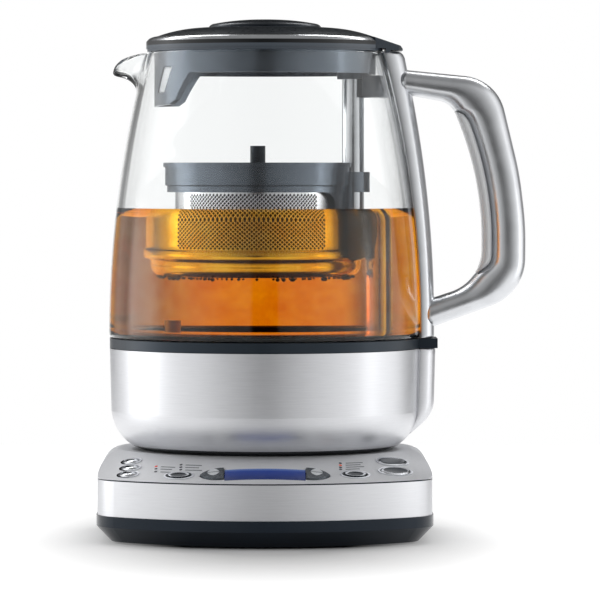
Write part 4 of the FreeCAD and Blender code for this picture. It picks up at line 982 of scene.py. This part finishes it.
# The panels' diamonds, and plain triangles along their four edges.
LAST_I, LAST_J = 2 * PANEL_CELLS, 2 * CELL_ROWS
for start in PANEL_STARTS:
    def cell(i, j, start=start):
        """The lattice's vertex i half cells along and j half cells up."""
        return cup_vert(start + CELL_TURN * i, PANEL_LOW + HALF_CELL * j)

    for i in range(1, LAST_I):
        for j in range(1, LAST_J):
            if (i + j) % 2:
                face = form.faces.new((cell(i, j - 1), cell(i + 1, j), cell(i, j + 1), cell(i - 1, j)))
                face[punched] = True
    for j in range(1, LAST_J, 2):
        form.faces.new((cell(0, j - 1), cell(1, j), cell(0, j + 1)))
        form.faces.new((cell(LAST_I, j - 1), cell(LAST_I, j + 1), cell(LAST_I - 1, j)))
    for i in range(1, LAST_I, 2):
        form.faces.new((cell(i - 1, 0), cell(i + 1, 0), cell(i, 1)))
        form.faces.new((cell(i + 1, LAST_J), cell(i - 1, LAST_J), cell(i, LAST_J - 1)))
bmesh.ops.recalc_face_normals(form, faces=form.faces)
cup_mesh = mesh_of(form, "cup_blank")


def punch_tree():
    """Geometry Nodes that cut a hole in each face marked as punched and give the sheet its metal."""
    group = bpy.data.node_groups.new("punch_holes", "GeometryNodeTree")
    sockets = group.interface
    sockets.new_socket("Geometry", in_out="INPUT", socket_type="NodeSocketGeometry")
    sockets.new_socket("Hole Share", in_out="INPUT", socket_type="NodeSocketFloat")
    sockets.new_socket("Metal", in_out="INPUT", socket_type="NodeSocketMaterial")
    sockets.new_socket("Geometry", in_out="OUTPUT", socket_type="NodeSocketGeometry")
    start = add(group, "NodeGroupInput")
    marked = add(group, "GeometryNodeInputNamedAttribute", {"Name": "punched"}, data_type="BOOLEAN")
    inset = add(
        group,
        "GeometryNodeExtrudeMesh",
        {"Mesh": start.outputs["Geometry"], "Selection": marked.outputs["Attribute"], "Offset Scale": 0.0,
         "Individual": True},
        mode="FACES",
    )
    hole = add(
        group,
        "GeometryNodeScaleElements",
        {"Geometry": inset.outputs["Mesh"], "Selection": inset.outputs["Top"],
         "Scale": start.outputs["Hole Share"]},
        domain="FACE",
    )
    opened = add(
        group,
        "GeometryNodeDeleteGeometry",
        {"Geometry": hole.outputs[0], "Selection": inset.outputs["Top"]},
        domain="FACE",
    )
    real = add(group, "GeometryNodeRealizeInstances", {"Geometry": opened.outputs[0]})
    metal = add(
        group, "GeometryNodeSetMaterial", {"Geometry": real.outputs[0], "Material": start.outputs["Metal"]}
    )
    add(group, "NodeGroupOutput", {"Geometry": metal.outputs[0]})
    return group


punch_holes = punch_tree()


def punched_sheet(name, blank, hole_share, metal, body, replaced, thick_mm):
    """Run the punch over a blank and keep the result as a plain mesh with a sheet's thickness."""
    worker = bpy.data.objects.new(name + "_blank", blank)
    scene.collection.objects.link(worker)
    punch = worker.modifiers.new("punch", "NODES")
    punch.node_group = punch_holes
    inputs = {
        item.name: item.identifier for item in punch_holes.interface.items_tree if item.in_out == "INPUT"
    }
    punch[inputs["Hole Share"]] = hole_share
    punch[inputs["Metal"]] = metal
    result = bpy.data.meshes.new_from_object(worker.evaluated_get(bpy.context.evaluated_depsgraph_get()))
    bpy.data.objects.remove(worker)
    result.name = name
    form = bmesh.new()
    form.from_mesh(result)
    bmesh.ops.remove_doubles(form, verts=form.verts, dist=1e-6)
    form.to_mesh(result)
    form.free()
    for polygon in result.polygons:
        polygon.use_smooth = True
    piece = place(name, result, body, metal, replaced)
    sheet = piece.modifiers.new("sheet", "SOLIDIFY")
    sheet.thickness = thick_mm * MM
    sheet.offset = -1


# Thin polished sheet: bright metal between holes that look into the dark cup.
cup_steel = chromed("polished_steel_sheet", "#ebecee", "#f1f2f4", 0.22)
CUP_HOLE_SHARE = 0.72
punched_sheet(
    "basket_cup_punched", cup_mesh, CUP_HOLE_SHARE, cup_steel, "basket", ("basket_cup",),
    CUP_WALL,
)

# A dark body fills the cup as painted shade, so that its holes look dark: (radius, height) from below.
SHADE_FILL_PROFILE = ((36.0, 129.9), (38.2, 132.2), (38.6, 136.9), (40.2, 141.6), (40.2, 160.0), (40.2, 176.0))
SHADE_FILL_GAP = 1.2
SHADE_FILL_SIDES = 120


def shade_fill_point(turn, radius, z):
    """A point of the dark body's outside, a gap within the cup."""
    r = cup_reach(turn, radius + SHADE_FILL_GAP) - SHADE_FILL_GAP
    return Vector((CUP_X + r * math.cos(turn), r * math.sin(turn), z)) * MM


shade_fill_rings = [
    [shade_fill_point(2 * math.pi * i / SHADE_FILL_SIDES, r, z) for i in range(SHADE_FILL_SIDES)] for r, z in SHADE_FILL_PROFILE
]
# Near-black and rough: painted shade where the cup's inside lies in shadow.
painted_cup_shade = moulded("painted_shade_inside_cup", "#0e0905", "#1c130a", 0.6, texture_mm=1.5, height_mm=0.6)
place_solid("cup_shade_filler", shade_fill_rings, "basket", painted_cup_shade)

# Bubbles cling under the cup's edge while the tea brews.
random.seed(7)
BUBBLES = 150
BUBBLE_LEVEL = 128.45
form = bmesh.new()
for _ in range(BUBBLES):
    turn = math.radians(random.uniform(-178, 178))
    size = random.choice((0.35, 0.45, 0.5, 0.6, 0.7, 0.95)) * MM
    r = random.uniform(35.6, 37.4)
    spot = Vector((CUP_X + r * math.cos(turn), r * math.sin(turn), BUBBLE_LEVEL - size / MM * 0.8)) * MM
    bmesh.ops.create_icosphere(form, subdivisions=2, radius=size, matrix=Matrix.Translation(spot))
bubble_mesh = mesh_of(form, "clinging_bubbles")
for face in bubble_mesh.polygons:
    face.use_smooth = True
# Seen against the tea they are dark beads with a bright speck: the dark brown is painted shade that stands in
# for how the gas bubbles look in the tea, and the speck is a real highlight.
bubble_painted_dark = moulded("bubble_painted_shade", "#2a1a08", "#3c260c", 0.08)
place("clinging_bubbles", bubble_mesh, "basket", bubble_painted_dark)


# ------------ lid and pouring skirt
# A charcoal lid with a push-on grip, a plated trim ring, and below it a mica-grey
# skirt whose drop carries the punched pouring filter.

# Charcoal with a soft gloss: the light from above lies on the dome as an even grey.
lid_abs = moulded("glossy_charcoal_abs", "#14181d", "#1b2126", 0.3, texture_mm=2.0, height_mm=0)
dress(lid_abs, "lid_cover", "lid_grip")
# Plating on the dome's edge, a thin bright line.
trim_plate = chromed("plated_trim", "#ced0d3", "#d6d8db", 0.2)
dress(trim_plate, "lid_trim_ring")
# Grey silicone collar; above this height a thin black line is painted over it as the shadow in the gap under
# the trim ring.
GAP_SHADOW_START = (0.2439, 0.2442)
seal_grey_and_gap_shadow, tree, shader = start_material("grey_silicone_painted_gap_shadow", {"IOR": 1.42})
step = rescale(tree, object_axes(tree)["Z"], *GAP_SHADOW_START)
grey_and_gap_shadow = blend(tree, step, linear("#535b64"), linear("#0e1114"))
tree.links.new(grey_and_gap_shadow, shader.inputs["Base Color"])
uneven(tree, shader, grain(tree, 2.0, detail=2), 0.29, 0.39)
dress(seal_grey_and_gap_shadow, "lid_seal")
# The brewing basket's grey, a shade darker.
skirt_grey = moulded(
    "mica_grey_pp_skirt", "#5c646d", "#676f78", 0.22, texture_mm=2.5, height_mm=0, metallic=0.8
)
dress(skirt_grey, "lid_skirt")

# Two slanting windows, each between these distances from the middle at its foot and head.
FILTER_RADIUS = 54.6
FILTER_WALL = 0.6
FILTER_LOW, FILTER_HIGH = 220.0, 232.7
WINDOW_FOOT, WINDOW_HEAD = (16.8, 25.6), (25.1, 32.5)
FILTER_COLUMNS, FILTER_ROWS = 5, 8
LAST_I, LAST_J = 2 * FILTER_COLUMNS, 2 * FILTER_ROWS


def filter_point(side, i, j):
    """A point of one slanting window's lattice, i across in half cells and j up."""
    t = j / LAST_J
    low = WINDOW_FOOT[0] + (WINDOW_HEAD[0] - WINDOW_FOOT[0]) * t
    high = WINDOW_FOOT[1] + (WINDOW_HEAD[1] - WINDOW_FOOT[1]) * t
    y = low + (high - low) * i / LAST_I
    z = FILTER_LOW + (FILTER_HIGH - FILTER_LOW) * t
    return Vector((-math.sqrt(FILTER_RADIUS**2 - y * y), side * y, z)) * MM


form = bmesh.new()
punched = form.faces.layers.bool.new("punched")
for side in (-1, 1):
    lattice = {
        (i, j): form.verts.new(filter_point(side, i, j))
        for i in range(LAST_I + 1) for j in range(LAST_J + 1) if (i + j) % 2 == 0
    }
    for i in range(LAST_I + 1):
        for j in range(LAST_J + 1):
            if (i + j) % 2 == 0:
                continue
            around = [(i, j - 1), (i + 1, j), (i, j + 1), (i - 1, j)]
            corners = [lattice[key] for key in around if key in lattice]
            if len(corners) >= 3:
                form.faces.new(corners)[punched] = len(corners) == 4
bmesh.ops.recalc_face_normals(form, faces=form.faces)
for face in form.faces:
    if face.normal.x > 0:
        face.normal_flip()
filter_mesh = mesh_of(form, "filter_blank")
# Bright sheet that shows the windows as pale patches in the grey skirt.
filter_steel = chromed("etched_filter_sheet", "#e4e6e8", "#eceef0", 0.3)
FILTER_HOLE_SHARE = 0.7
punched_sheet(
    "pour_filter", filter_mesh, FILTER_HOLE_SHARE, filter_steel, "lid", ("spout_filter",),
    FILTER_WALL,
)
